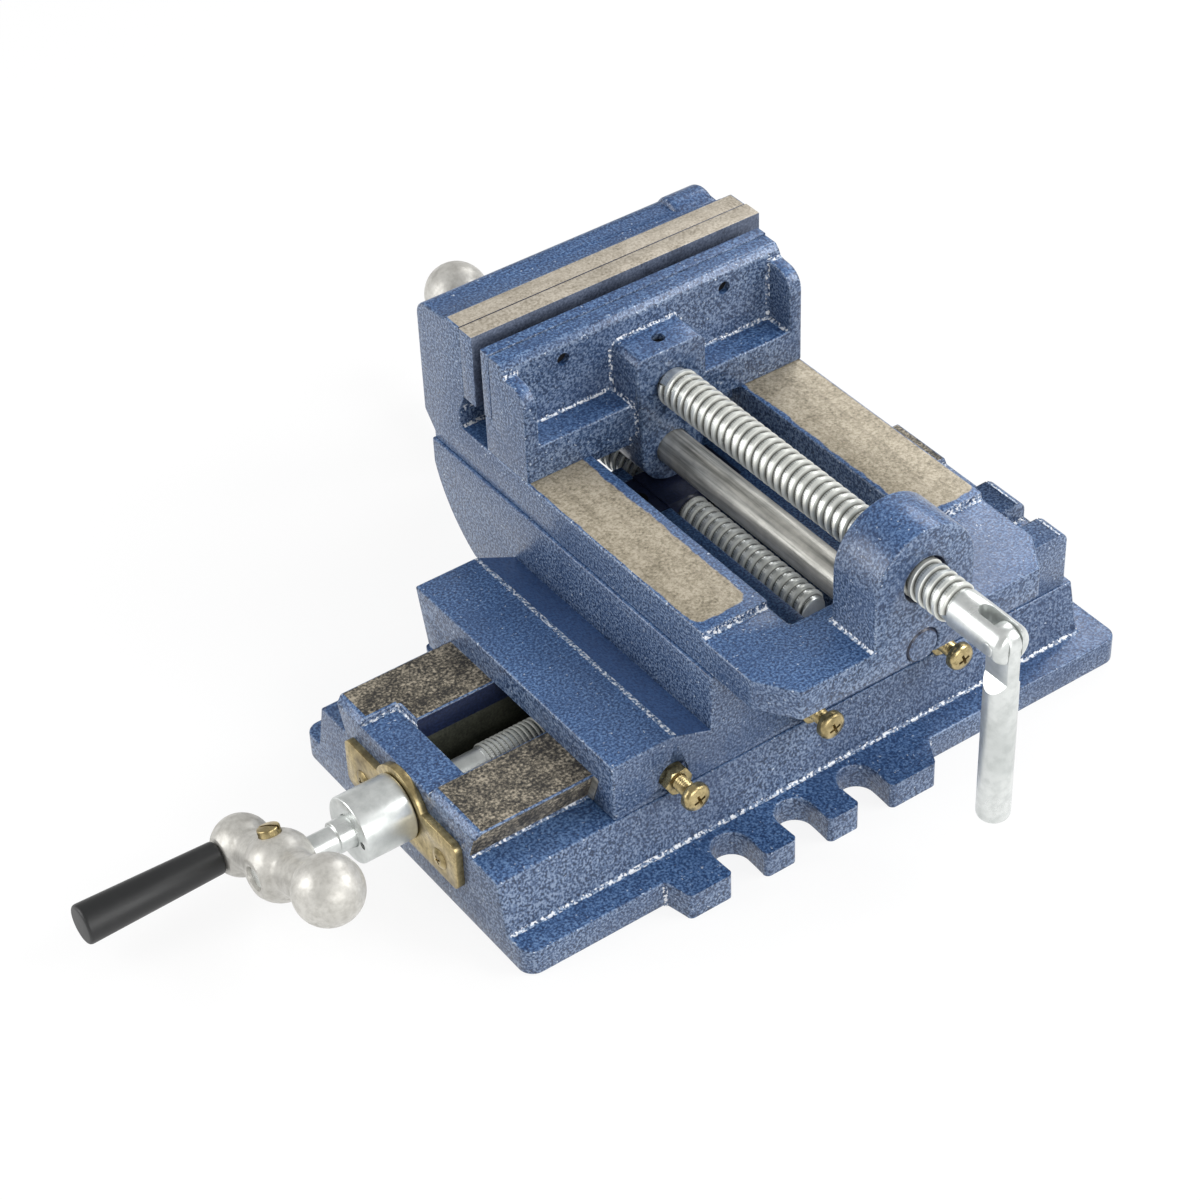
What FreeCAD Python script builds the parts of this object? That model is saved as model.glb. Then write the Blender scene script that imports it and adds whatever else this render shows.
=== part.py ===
import FreeCAD, Part
import math
import os

# Cross slide vise: a base with two dovetail slides above each other and a screw vise on top.
# Millimetres, +Z up. The origin is the centre of the base's underside. +X runs along the lower
# feed screw away from its crank, +Y runs from the clamp handle towards the fixed jaw.

# Base casting
base_length = 270.0
base_width = 145.0
flange_thickness = 11.2
flange_corner_radius = 6.0
flange_end_ledge = 11.0
body_foot_width = 122.0
ledge_width = 112.4
ledge_height = 32.7
base_dovetail_height = 13.8
dovetail_root_width = 79.6
dovetail_angle = 70.0
channel_width = 32.4
channel_floor = 12.0
crank_end_wall = 16.0
far_end_wall = 17.0
end_wall_drop = 2.5
end_wall_notch = 12.0
way_bevel = 2.4
tab_reach = 11.0
tab_start = -74.1
tab_end = 35.6
tab_flare_start = 3.3
tab_flare_end = 7.1
hold_slot_width = 14.6
hold_slot_depth = 18.0
hold_slot_first = -48.4
hold_slot_pitch = 28.3
hold_slot_count = 3
tab_corner_radius = 2.2
core_margin = 7.0
core_height = 24.0
core_rib = 9.0
core_count = 3
core_corner_radius = 4.0

# Feed screws, the same pair of parts for both slides
screw_diameter = 14.0
screw_neck_diameter = 12.0
journal_diameter = 12.0
journal_clearance = 0.05
thrust_diameter = 20.0
thrust_thickness = 3.5
thrust_clearance = 0.2
collar_diameter = 25.5
collar_length = 20.7
collar_gap = 0.3
collar_edge_radius = 0.8
collar_pin_hole = 3.0
collar_pin_depth = 4.0
shaft_length = 27.0
spigot_diameter = 9.5
nut_clearance = 0.05
x_screw_below_way = 17.5
x_thread_run_in = 34.5
x_thread_end_gap = 3.0
y_screw_below_rail_floor = 7.8
y_thread_inset = 59.0
y_thread_end_gap = 6.0
screw_end_radius = 3.0

# Bearing plates
plate_thickness = 3.0
x_plate_width = 71.0
y_plate_width = 53.0
plate_below_axis = 14.5
plate_ear_above_axis = 6.0
plate_hump_radius = 15.5
plate_corner_radius = 3.0
x_plate_screw_spacing = 49.0
y_plate_screw_spacing = 37.0
plate_screw_below_axis = 7.0
plate_screw_diameter = 4.5
plate_screw_head = 8.6
plate_screw_length = 13.0
screw_clearance = 0.1

# Ball cranks
crank_distance = 48.2
hub_ball_diameter = 26.0
hub_flat = 10.8
weight_ball_diameter = 25.4
grip_ball_diameter = 22.8
weight_arm = 36.5
grip_arm = 31.5
weight_neck_diameter = 16.6
grip_neck_diameter = 15.2
neck_fillet = 4.5
grip_ball_flat = 9.0
x_crank_angle = 24.0
y_crank_angle = 66.3
set_screw_diameter = 8.4
set_screw_stand = 2.0
spindle_diameter = 6.0
spindle_bulb_diameter = 7.4
spindle_bulb_length = 3.0
spindle_length = 44.0
grip_length = 54.5
grip_gap = 0.5
grip_small_diameter = 12.3
grip_large_diameter = 15.2
grip_end_radius = 2.0
grip_clearance = 0.05

# Saddle
saddle_start = -86.1
saddle_front = -56.2
wing_rear = 66.0
wing_rear_foot = 60.0
wing_rise = 11.6
skirt_gap = 0.7
rim_width = 26.6
valley_rise = 5.3
rail_floor_rise = 18.3
vise_dovetail_height = 11.2
rail_wall = 17.5
far_rail_wall = 23.4
rail_overhang = 1.0
centre_rear = 70.0
tail_end = 116.6
tail_foot = 92.0
tail_nose_drop = 11.0
tail_bulge = 3.7
tail_root = 8.0
fork_width = 59.2
far_wing_reach = 12.0
lug_reach = 31.2
lug_plate_rise = 3.5
front_lug_length = 13.0
second_lug_offset = 23.2
second_lug_length = 18.0
lug_corner = 4.0
y_channel_width = 20.0
y_channel_rise = 2.5
foot_step = 8.0

# Gibs and their screws
gib_thickness = 3.0
gib_end_gap = 0.3
gib_screw_diameter = 6.0
gib_screw_chamfer = 0.8
gib_head_diameter = 11.0
gib_head_height = 4.2
gib_head_bevel = 1.5
gib_nut_across = 10.0
gib_nut_height = 5.0
gib_nut_corner_share = 0.6
gib_screw_stand = 15.5
gib_tip_gap = 0.05
x_gib_screw_inset = 25.4
x_gib_screw_pitch = 59.3
x_gib_screw_rise = 6.6
y_gib_screw_inset = 41.2
y_gib_screw_pitch = 57.0
y_gib_screw_rise = 5.6
gib_screw_count = 3
spot_face_diameter = 13.0
spot_face_depth = 1.2
gib_notch_length = 28.0
gib_notch_depth = 8.0

# Feed nuts
x_nut_place = 18.5
x_nut_length = 30.0
x_nut_width = 26.0
nut_below_screw = 4.0
x_nut_flange_length = 56.0
x_nut_flange_thickness = 6.0
x_nut_screw_spacing = 42.0
y_nut_place = 50.0
y_nut_length = 22.0
y_nut_width = 22.0
y_nut_ear_span = 46.0
y_nut_ear_thickness = 3.5
y_nut_crown = 1.0
y_nut_screw_spacing = 34.0
nut_fit = 0.1
nut_screw_diameter = 4.0
nut_screw_head = 8.0
nut_screw_head_height = 2.4
nut_screw_length = 12.0

# Vise body
vise_place = 19.6
vise_width = 125.0
vise_front = -92.0
vise_back = 122.0
body_slab_thickness = 15.4
front_land_drop = 2.8
front_land_length = 42.0
dovetail_top_width = 92.0
dovetail_front_inset = 17.0
dovetail_floor_gap = 0.3
jaw_slot_width = 68.0
jaw_slot_inset = 30.0
front_chamfer_x = 10.0
front_chamfer_y = 15.4
boss_width = 43.0
boss_length = 23.0
clamp_rise = 19.1
fixed_jaw_depth = 29.0
fixed_jaw_height = 46.6
fixed_plate_rise = 16.1
fixed_plate_stand = 0.3
fixed_plate_thickness = 8.0
fixed_relief_depth = 4.0
fixed_relief_rise = 8.6
machined_top_width = 9.5
machined_top_step = 1.0
back_edge_radius = 7.0
back_edge_drop = 1.8
back_chamfer_rise = 10.0
back_chamfer_foot = 3.0
back_chamfer_depth = 6.0
bump_start = 53.5
bump_length = 18.0
bump_radius = 9.0
bump_rise = 2.6
fixed_jaw_overhang = 5.0
bearing_wall_width = 56.0
bearing_wall_inset = 1.7
bearing_wall_thickness = 17.0
bearing_wall_below_screw = 15.0
bearing_wall_corner = 5.0
jaw_plate_screw_spacing = 72.4
fixed_plate_screw_rise = 15.5
movable_plate_screw_rise = 20.5
jaw_screw_diameter = 5.0
jaw_screw_head = 9.6
fixed_jaw_screw_length = 22.0
movable_jaw_screw_length = 11.0

# Guide rod
guide_rod_diameter = 14.0
guide_rod_rise = 5.3
guide_rod_seat = 15.0
guide_rod_end_gap = 0.5
guide_rod_fit = 0.05

# Movable jaw
jaw_gap = 5.5
movable_plate_thickness = 4.6
movable_plate_height = 29.0
jaw_foot_length = 26.5
jaw_foot_rise = 14.6
jaw_wall_thickness = 8.9
jaw_wall_drop = 2.0
jaw_wall_bevel = 2.5
jaw_rib_thickness = 5.8
jaw_rib_drop = 5.0
jaw_rib_radius = 8.0
jaw_boss_width = 31.0
jaw_boss_rise = 15.5
jaw_boss_stand = 3.0
jaw_boss_chamfer = 2.5
jaw_lug_gap = 0.6
jaw_lug_length = 22.0
jaw_lug_radius = 14.0
jaw_tongue_depth = 7.0
jaw_tongue_inset = 4.0
retaining_screw_diameter = 5.0
retaining_screw_inset = 8.0
retaining_screw_sink = 2.5
retaining_clearance = 0.3

# Clamp screw and handle
clamp_screw_diameter = 16.0
clamp_nose_diameter = 12.0
clamp_nose_length = 14.0
clamp_nose_gap = 0.5
clamp_groove_diameter = 9.0
clamp_shoulder_gap = 0.3
clamp_thread_stand = 18.6
clamp_shank_diameter = 15.0
clamp_end_stand = 44.8
clamp_end_radius = 3.5
handle_slot_width = 6.0
handle_slot_length = 17.3
handle_pin_diameter = 5.0
handle_pin_inset = 5.6
handle_pin_stand = 0.1
handle_diameter = 12.2
handle_length = 78.5
handle_tang_thickness = 5.2
handle_tang_length = 15.0
handle_shoulder_length = 6.0
handle_end_radius = 2.2
handle_pin_clearance = 0.05

# Derived places, shared by the pieces that meet there
base_start = -base_length / 2
base_end = base_length / 2
upper_end = base_end - flange_end_ledge
slope = 1.0 / math.tan(math.radians(dovetail_angle))
gib_shift = gib_thickness / math.sin(math.radians(dovetail_angle))
x_plate_face = base_start - plate_thickness
way_height = ledge_height + base_dovetail_height
x_screw_height = way_height - x_screw_below_way
skirt_bottom = ledge_height + skirt_gap
valley_height = way_height + valley_rise
wing_height = way_height + wing_rise
lug_plate_height = way_height + lug_plate_rise
y_channel_floor = way_height + y_channel_rise
rail_floor = way_height + rail_floor_rise
rail_height = rail_floor + vise_dovetail_height
tail_nose_height = rail_height - tail_nose_drop
y_screw_height = rail_floor - y_screw_below_rail_floor
x_gib_screw_height = skirt_bottom + x_gib_screw_rise
y_gib_screw_height = rail_floor + y_gib_screw_rise
x_gib_screw_first = saddle_start + x_gib_screw_inset
y_gib_screw_first = saddle_front + y_gib_screw_inset
second_lug_start = saddle_front + second_lug_offset
way_top = rail_height + body_slab_thickness
front_land_height = way_top - front_land_drop
guide_rod_height = rail_height + guide_rod_rise
clamp_height = way_top + clamp_rise
jaw_top = way_top + fixed_jaw_height
fixed_plate_bottom = way_top + fixed_plate_rise
fixed_relief_height = way_top + fixed_relief_rise
fixed_plate_screw_height = fixed_plate_bottom + fixed_plate_screw_rise
movable_plate_screw_height = fixed_plate_bottom + movable_plate_screw_rise
jaw_foot_top = way_top + jaw_foot_rise
jaw_wall_top = jaw_top - jaw_wall_drop
jaw_rib_top = jaw_wall_top - jaw_rib_drop
jaw_boss_top = clamp_height + jaw_boss_rise
bearing_wall_bottom = y_screw_height - bearing_wall_below_screw
fixed_jaw_face = vise_back - fixed_jaw_depth
bearing_wall_face = vise_back - bearing_wall_inset
dovetail_front = vise_front + dovetail_front_inset
dovetail_back = bearing_wall_face - bearing_wall_thickness
front_land_end = vise_front + front_land_length
jaw_slot_front = vise_front + jaw_slot_inset
y_plate_face = bearing_wall_face + plate_thickness
vise_left = vise_place - vise_width / 2
vise_right = vise_place + vise_width / 2
rail_left = vise_place - dovetail_top_width / 2 - rail_wall
rail_right = vise_place + dovetail_top_width / 2 + far_rail_wall
jaw_front = fixed_jaw_face - fixed_plate_thickness - jaw_gap
jaw_back = jaw_front - jaw_foot_length
jaw_wall_back = jaw_front - movable_plate_thickness - jaw_wall_thickness
jaw_boss_front = jaw_back - jaw_boss_stand
clamp_thread_end = vise_front - clamp_thread_stand
clamp_screw_end = vise_front - clamp_end_stand
handle_slot_start = clamp_screw_end + handle_slot_length
handle_pin_place = clamp_screw_end + handle_pin_inset
grip_start = grip_ball_flat + grip_gap


def vec(x, y, z):
    return FreeCAD.Vector(x, y, z)


def block(x0, x1, y0, y1, z0, z1):
    """A box between six planes."""
    return Part.makeBox(x1 - x0, y1 - y0, z1 - z0, vec(x0, y0, z0))


def bar_x(radius, x0, x1, y, z):
    """A round bar along X."""
    return Part.makeCylinder(radius, x1 - x0, vec(x0, y, z), vec(1, 0, 0))


def bar_y(radius, y0, y1, x, z):
    """A round bar along Y."""
    return Part.makeCylinder(radius, y1 - y0, vec(x, y0, z), vec(0, 1, 0))


def bar_z(radius, z0, z1, x, y):
    """A round bar along Z."""
    return Part.makeCylinder(radius, z1 - z0, vec(x, y, z0), vec(0, 0, 1))


def prism_x(outline, x0, x1):
    """A prism along X with an outline of (y, z) points."""
    points = [vec(x0, y, z) for y, z in outline]
    return Part.Face(Part.makePolygon(points + points[:1])).extrude(vec(x1 - x0, 0, 0))


def prism_y(outline, y0, y1):
    """A prism along Y with an outline of (x, z) points."""
    points = [vec(x, y0, z) for x, z in outline]
    return Part.Face(Part.makePolygon(points + points[:1])).extrude(vec(0, y1 - y0, 0))


def prism_z(outline, z0, z1):
    """A prism along Z with an outline of (x, y) points."""
    points = [vec(x, y, z0) for x, y in outline]
    return Part.Face(Part.makePolygon(points + points[:1])).extrude(vec(0, 0, z1 - z0))


def turned(outline):
    """A solid turned about the X axis from an outline of (x, radius) points."""
    points = [vec(x, r, 0) for x, r in outline]
    face = Part.Face(Part.makePolygon(points + points[:1]))
    return face.revolve(vec(0, 0, 0), vec(1, 0, 0), 360)


def joined(shapes):
    """One solid made of shapes that touch or overlap."""
    return shapes[0].multiFuse(shapes[1:]).removeSplitter()


def without(shape, cutters):
    """The shape with each cutter taken away."""
    for cutter in cutters:
        shape = shape.cut(cutter)
    return shape


def group(solids):
    """Several separate solids that share one node."""
    return Part.makeCompound(solids)


def rounded(shape, radius, wanted):
    """The shape with the edges rounded that the wanted test picks."""
    return shape.makeFillet(radius, [edge for edge in shape.Edges if wanted(edge)])


def runs_along(edge, axis):
    """True for a straight edge along the axis, given as 'x', 'y' or 'z'."""
    if edge.Curve.TypeId != "Part::GeomLine":
        return False
    direction = edge.Vertexes[-1].Point - edge.Vertexes[0].Point
    direction.normalize()
    return abs(abs(getattr(direction, axis)) - 1.0) < 1e-6


def outward_x(shape):
    """Places a shape made along +X so that it points out of the base's crank end."""
    shape.rotate(vec(0, 0, 0), vec(0, 0, 1), 180)
    shape.translate(vec(x_plate_face, 0, x_screw_height))
    return shape


def outward_y(shape):
    """Places a shape made along +X so that it points out of the vise body's rear."""
    shape.rotate(vec(0, 0, 0), vec(0, 0, 1), 90)
    shape.translate(vec(vise_place, y_plate_face, y_screw_height))
    return shape


# Base

def hold_down_slots():
    """Cutters of the open slots in both long sides of the flange."""
    cutters = []
    for side in (-1, 1):
        mouth = side * (base_width / 2 + tab_reach)
        centre = mouth - side * (hold_slot_depth - hold_slot_width / 2)
        y0, y1 = sorted((centre, mouth + side))
        for number in range(hold_slot_count):
            x = hold_slot_first + number * hold_slot_pitch
            half = hold_slot_width / 2
            straight = block(x - half, x + half, y0, y1, -1, flange_thickness + 1)
            cutters.append(straight.fuse(bar_z(half, -1, flange_thickness + 1, x, centre)))
    return cutters


def base_flange():
    """The flange with its two rows of slotted tabs."""
    half = base_width / 2
    flange = block(base_start, base_end, -half, half, 0, flange_thickness)
    flange = rounded(flange, flange_corner_radius, lambda edge: runs_along(edge, "z"))
    tabs = []
    for side in (-1, 1):
        root = side * (half - 1)
        tip = side * (half + tab_reach)
        outline = [
            (tab_start - tab_flare_start, root),
            (tab_start, tip),
            (tab_end, tip),
            (tab_end + tab_flare_end, root),
        ]
        tabs.append(prism_z(outline, 0, flange_thickness))
    flange = without(joined([flange] + tabs), hold_down_slots())

    def tab_corner(edge):
        return runs_along(edge, "z") and abs(edge.Vertexes[0].Y) > half + tab_reach - 0.01

    return rounded(flange, tab_corner_radius, tab_corner)


def base_cores():
    """Cutters of the pockets that lighten the underside."""
    start = base_start + crank_end_wall + core_margin
    end = upper_end - far_end_wall
    length = (end - start - (core_count - 1) * core_rib) / core_count
    inner = channel_width / 2 + core_margin
    outer = ledge_width / 2 - core_margin
    cutters = []
    for side in (-1, 1):
        y0, y1 = sorted((side * inner, side * outer))
        for number in range(core_count):
            x0 = start + number * (length + core_rib)
            core = block(x0, x0 + length, y0, y1, -1, core_height)
            cutters.append(rounded(core, core_corner_radius, lambda edge: runs_along(edge, "z")))
    return cutters


def plate_screw_holes(spacing, length):
    """Holes of a bearing plate's two screws, along +X from the plate's face inwards."""
    radius = (plate_screw_diameter + screw_clearance) / 2
    return [bar_x(radius, -length, 1, side * spacing / 2, -plate_screw_below_axis) for side in (-1, 1)]


def bearing_bore(depth):
    """The bore and thrust recess of a feed screw in the wall behind its plate."""
    seat = -plate_thickness - thrust_thickness - thrust_clearance
    return [
        bar_x(journal_diameter / 2 + journal_clearance, -plate_thickness - depth, 1, 0, 0),
        bar_x(thrust_diameter / 2 + thrust_clearance, seat, 1, 0, 0),
    ]


def base_casting():
    """The flanged base with its dovetail way along X."""
    foot = body_foot_width / 2
    ledge = ledge_width / 2
    root = dovetail_root_width / 2
    top = root + (way_height - ledge_height) * slope
    section = [
        (-foot, flange_thickness - 1),
        (-foot, flange_thickness),
        (-ledge, ledge_height),
        (-root, ledge_height),
        (-top, way_height),
        (top, way_height),
        (root, ledge_height),
        (ledge, ledge_height),
        (foot, flange_thickness),
        (foot, flange_thickness - 1),
    ]
    casting = joined([base_flange(), prism_x(section, base_start, upper_end)])
    half = channel_width / 2
    wall = base_start + crank_end_wall
    far_wall = upper_end - far_end_wall
    wall_top = way_height - end_wall_drop
    bevel = prism_y(
        [
            (base_start - 1, way_height - way_bevel - 1),
            (base_start + way_bevel + 1, way_height + 1),
            (base_start - 1, way_height + 1),
        ],
        -top - 1,
        top + 1,
    )
    cutters = [
        block(wall, far_wall, -half, half, channel_floor, way_height + 1),
        block(base_start - 1, wall, -half, half + end_wall_notch, wall_top, way_height + 1),
        block(far_wall, upper_end + 1, -half, half, wall_top, way_height + 1),
        bevel,
    ]
    bores = bearing_bore(crank_end_wall)
    bores += plate_screw_holes(x_plate_screw_spacing, plate_screw_length)
    cutters += [outward_x(bore) for bore in bores]
    return without(casting, cutters + base_cores())


# Bearing plates and their screws

def countersink(diameter, head, along):
    """The cone of a countersunk head whose flat face is at x = along, pointing to -X."""
    depth = (head - diameter) / 2
    return turned([(along, 0), (along, head / 2), (along - depth, diameter / 2), (along - depth, 0)])


def bearing_plate(width, spacing):
    """A plate with a hump round the shaft, its outer face at x = 0."""
    low = -plate_below_axis
    ears = block(-plate_thickness, 0, -width / 2, width / 2, low, plate_ear_above_axis)
    ears = rounded(ears, plate_corner_radius, lambda edge: runs_along(edge, "x"))
    hump = bar_x(plate_hump_radius, -plate_thickness, 0, 0, 0)
    hump = hump.cut(block(-plate_thickness, 0, -width, width, -2 * plate_hump_radius, low))
    plate = joined([ears, hump])
    cutters = [bar_x(journal_diameter / 2 + journal_clearance, -plate_thickness - 1, 1, 0, 0)]
    cutters += plate_screw_holes(spacing, plate_thickness + 1)
    for side in (-1, 1):
        sink = countersink(plate_screw_diameter + screw_clearance, plate_screw_head + screw_clearance, 0)
        sink.translate(vec(0, side * spacing / 2, -plate_screw_below_axis))
        cutters.append(sink)
    return without(plate, cutters)


def bearing_plate_screws(spacing):
    """The two countersunk screws of a bearing plate."""
    screws = []
    for side in (-1, 1):
        head = countersink(plate_screw_diameter, plate_screw_head, 0)
        shank = bar_x(plate_screw_diameter / 2, -plate_screw_length + 1, 0, 0, 0)
        screw = joined([head, shank])
        screw.translate(vec(0, side * spacing / 2, -plate_screw_below_axis))
        screws.append(screw)
    return group(screws)


# Feed screws and cranks, made along +X with the plate's outer face at x = 0

def feed_screw(thread_far, thread_near):
    """A feed screw: thread, neck, thrust flange, journal and the spigot in the crank."""
    seat = -plate_thickness
    radius = screw_diameter / 2
    outline = [
        (thread_far, 0),
        (thread_far, radius - screw_end_radius),
        (thread_far + screw_end_radius, radius),
        (thread_near, radius),
        (thread_near, screw_neck_diameter / 2),
        (seat - thrust_thickness, screw_neck_diameter / 2),
        (seat - thrust_thickness, thrust_diameter / 2),
        (seat, thrust_diameter / 2),
        (seat, journal_diameter / 2),
        (shaft_length, journal_diameter / 2),
        (shaft_length, spigot_diameter / 2),
        (crank_distance + hub_flat, spigot_diameter / 2),
        (crank_distance + hub_flat, 0),
    ]
    return turned(outline)


def collar():
    """The collar that takes up the end play, with a pin hole in its end face."""
    ring = bar_x(collar_diameter / 2, collar_gap, collar_gap + collar_length, 0, 0)
    ring = rounded(ring, collar_edge_radius, lambda edge: edge.Curve.TypeId == "Part::GeomCircle")
    bore = bar_x(journal_diameter / 2 + journal_clearance, 0, collar_gap + collar_length + 1, 0, 0)
    end = collar_gap + collar_length
    middle = (collar_diameter + journal_diameter) / 4
    hole = bar_x(collar_pin_hole / 2, end - collar_pin_depth, end + 1, middle, 0)
    return without(ring, [bore, hole])


def ball_point(centre, radius, angle):
    """A point on a ball's outline, the angle measured from the arm's axis."""
    return vec(centre + radius * math.cos(angle), radius * math.sin(angle), 0)


def neck_curve(ball, ball_radius, neck_radius, direction):
    """The fillet between a ball and a neck: its start on the ball, middle, and end."""
    far = ball_radius + neck_fillet
    rise = neck_radius + neck_fillet
    run = math.sqrt(far ** 2 - rise ** 2)
    angle = math.atan2(rise, run)
    centre = vec(ball + direction * run, rise, 0)
    start = vec(ball + direction * ball_radius * math.cos(angle), ball_radius * math.sin(angle), 0)
    end = vec(centre.x, neck_radius, 0)
    middle = (start + end) * 0.5 - centre
    middle.normalize()
    return start, centre + middle * neck_fillet, end


def arm_outline():
    """Half of the crank's outline: three balls joined by necks with fillets."""
    hub = hub_ball_diameter / 2
    weight = weight_ball_diameter / 2
    small = grip_ball_diameter / 2
    small_end = neck_curve(-grip_arm, small, grip_neck_diameter / 2, 1)
    hub_small = neck_curve(0, hub, grip_neck_diameter / 2, -1)
    hub_weight = neck_curve(0, hub, weight_neck_diameter / 2, 1)
    weight_end = neck_curve(weight_arm, weight, weight_neck_diameter / 2, -1)
    tip = vec(-grip_arm - small, 0, 0)
    end = vec(weight_arm + weight, 0, 0)
    edges = [
        Part.Arc(tip, ball_point(-grip_arm, small, math.radians(110)), small_end[0]),
        Part.Arc(*small_end),
        Part.LineSegment(small_end[2], hub_small[2]),
        Part.Arc(hub_small[2], hub_small[1], hub_small[0]),
        Part.Arc(hub_small[0], vec(0, hub, 0), hub_weight[0]),
        Part.Arc(*hub_weight),
        Part.LineSegment(hub_weight[2], weight_end[2]),
        Part.Arc(weight_end[2], weight_end[1], weight_end[0]),
        Part.Arc(weight_end[0], ball_point(weight_arm, weight, math.radians(70)), end),
        Part.LineSegment(end, tip),
    ]
    return Part.Wire([edge.toShape() for edge in edges])


def crank_tilt(shape, angle):
    """Turns a shape made along +Y in the crank's plane up to the arm's angle, at the hub."""
    shape.rotate(vec(0, 0, 0), vec(1, 0, 0), angle)
    shape.translate(vec(crank_distance, 0, 0))
    return shape


def crank_arm(angle):
    """The three-ball crank: hub, counterweight and the ball that carries the grip."""
    arm = Part.Face(arm_outline()).revolve(vec(0, 0, 0), vec(1, 0, 0), 360)
    arm.rotate(vec(0, 0, 0), vec(0, 0, 1), 90)
    reach = hub_ball_diameter
    cutters = [
        block(hub_flat, reach, -reach / 2, reach / 2, -reach, reach),
        block(-reach, -hub_flat, -reach / 2, reach / 2, -reach, reach),
        block(grip_ball_flat, reach, -grip_arm - reach / 2, -grip_arm + reach / 2, -reach, reach),
        bar_x(spigot_diameter / 2 + journal_clearance, -reach, reach, 0, 0),
        bar_x(spindle_diameter / 2 + journal_clearance, -reach, reach, -grip_arm, 0),
        bar_z(set_screw_diameter / 2 + screw_clearance, 0, reach, 0, 0),
    ]
    return crank_tilt(without(arm, cutters), angle)


def crank_set_screw(angle):
    """The slotted screw that holds the crank on the spigot."""
    screw = bar_z(
        set_screw_diameter / 2,
        spigot_diameter / 2 + journal_clearance,
        hub_ball_diameter / 2 + set_screw_stand,
        0,
        0,
    )
    spigot = bar_x(spigot_diameter / 2 + journal_clearance, -set_screw_diameter, set_screw_diameter, 0, 0)
    return crank_tilt(screw.cut(spigot), angle)


def grip_spindle(angle):
    """The spindle in the small ball, with the bulb that keeps the grip on."""
    radius = spindle_diameter / 2
    bulb = grip_start + spindle_length - spindle_bulb_length
    outline = [
        (-grip_ball_flat, 0),
        (-grip_ball_flat, radius),
        (bulb, radius),
        (bulb, spindle_bulb_diameter / 2),
        (bulb + spindle_bulb_length, spindle_bulb_diameter / 2),
        (bulb + spindle_bulb_length, 0),
    ]
    spindle = turned(outline)
    spindle.translate(vec(0, -grip_arm, 0))
    return crank_tilt(spindle, angle)


def crank_grip(angle):
    """The tapered grip that turns on its spindle."""
    small = grip_small_diameter / 2
    large = grip_large_diameter / 2
    end = grip_start + grip_length
    grip = turned([(grip_start, 0), (grip_start, small), (end, large), (end, 0)])
    grip = rounded(grip, grip_end_radius, lambda edge: edge.BoundBox.XMin > end - 0.01)
    bulb = grip_start + spindle_length - spindle_bulb_length
    bore = [
        bar_x(spindle_diameter / 2 + grip_clearance, 0, bulb, 0, 0),
        bar_x(
            spindle_bulb_diameter / 2 + grip_clearance,
            bulb - grip_clearance,
            bulb + spindle_bulb_length + grip_clearance,
            0,
            0,
        ),
    ]
    grip = without(grip, bore)
    grip.translate(vec(0, -grip_arm, 0))
    return crank_tilt(grip, angle)


# Saddle

def base_flank(z):
    """Half-width of the base's dovetail at a height."""
    return dovetail_root_width / 2 + (z - ledge_height) * slope


def vise_flank(z):
    """Half-width of the vise body's dovetail at a height."""
    return dovetail_top_width / 2 + (rail_height - z) * slope


def saddle_cavity():
    """The dovetail way along X, wide enough for the gib on the near side."""
    low = skirt_bottom - 1
    return prism_x(
        [
            (-base_flank(low) - gib_shift, low),
            (-base_flank(way_height) - gib_shift, way_height),
            (base_flank(way_height), way_height),
            (base_flank(low), low),
        ],
        saddle_start - 1,
        rail_right + lug_reach + 1,
    )


def rail_cavity():
    """The dovetail way along Y, wide enough for the gib on the far side."""
    high = rail_height + 1
    return prism_y(
        [
            (vise_place - vise_flank(rail_floor), rail_floor),
            (vise_place - vise_flank(high), high),
            (vise_place + vise_flank(high) + gib_shift, high),
            (vise_place + vise_flank(rail_floor) + gib_shift, rail_floor),
        ],
        saddle_front - 1,
        tail_end + 1,
    )


def tail_arm(x0, x1):
    """One arm of the fork behind the saddle, its underside curved up to the tail."""
    corner = vec(x0, tail_foot, skirt_bottom)
    nose = vec(x0, tail_end, tail_nose_height)
    middle = (corner + nose) * 0.5
    across = vec(0, nose.z - corner.z, corner.y - nose.y)
    across.normalize()
    bend = middle + across * tail_bulge
    root = wing_rear_foot - tail_root
    points = [
        vec(x0, tail_end, rail_height),
        vec(x0, root, rail_height),
        vec(x0, root, skirt_bottom),
        corner,
    ]
    edges = [Part.LineSegment(nose, points[0]).toShape()]
    for first, second in zip(points, points[1:]):
        edges.append(Part.LineSegment(first, second).toShape())
    edges.append(Part.Arc(corner, bend, nose).toShape())
    return Part.Face(Part.Wire(edges)).extrude(vec(x1 - x0, 0, 0))


def saddle_wings():
    """The wide lower plate with its rim and the valley beside the near rail."""
    section = [
        (saddle_front, skirt_bottom),
        (saddle_front, wing_height),
        (wing_rear, wing_height),
        (wing_rear_foot, skirt_bottom),
    ]
    wings = prism_x(section, saddle_start, rail_right + far_wing_reach)
    near = prism_y(
        [
            (saddle_start + rim_width, wing_height + 1),
            (saddle_start + rim_width, wing_height),
            (rail_left, valley_height),
            (rail_left, wing_height + 1),
        ],
        saddle_front - 1,
        wing_rear + 1,
    )
    far = block(
        rail_right,
        rail_right + far_wing_reach + 1,
        saddle_front - 1,
        wing_rear + 1,
        valley_height,
        wing_height + 1,
    )
    return without(wings, [near, far])


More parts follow.
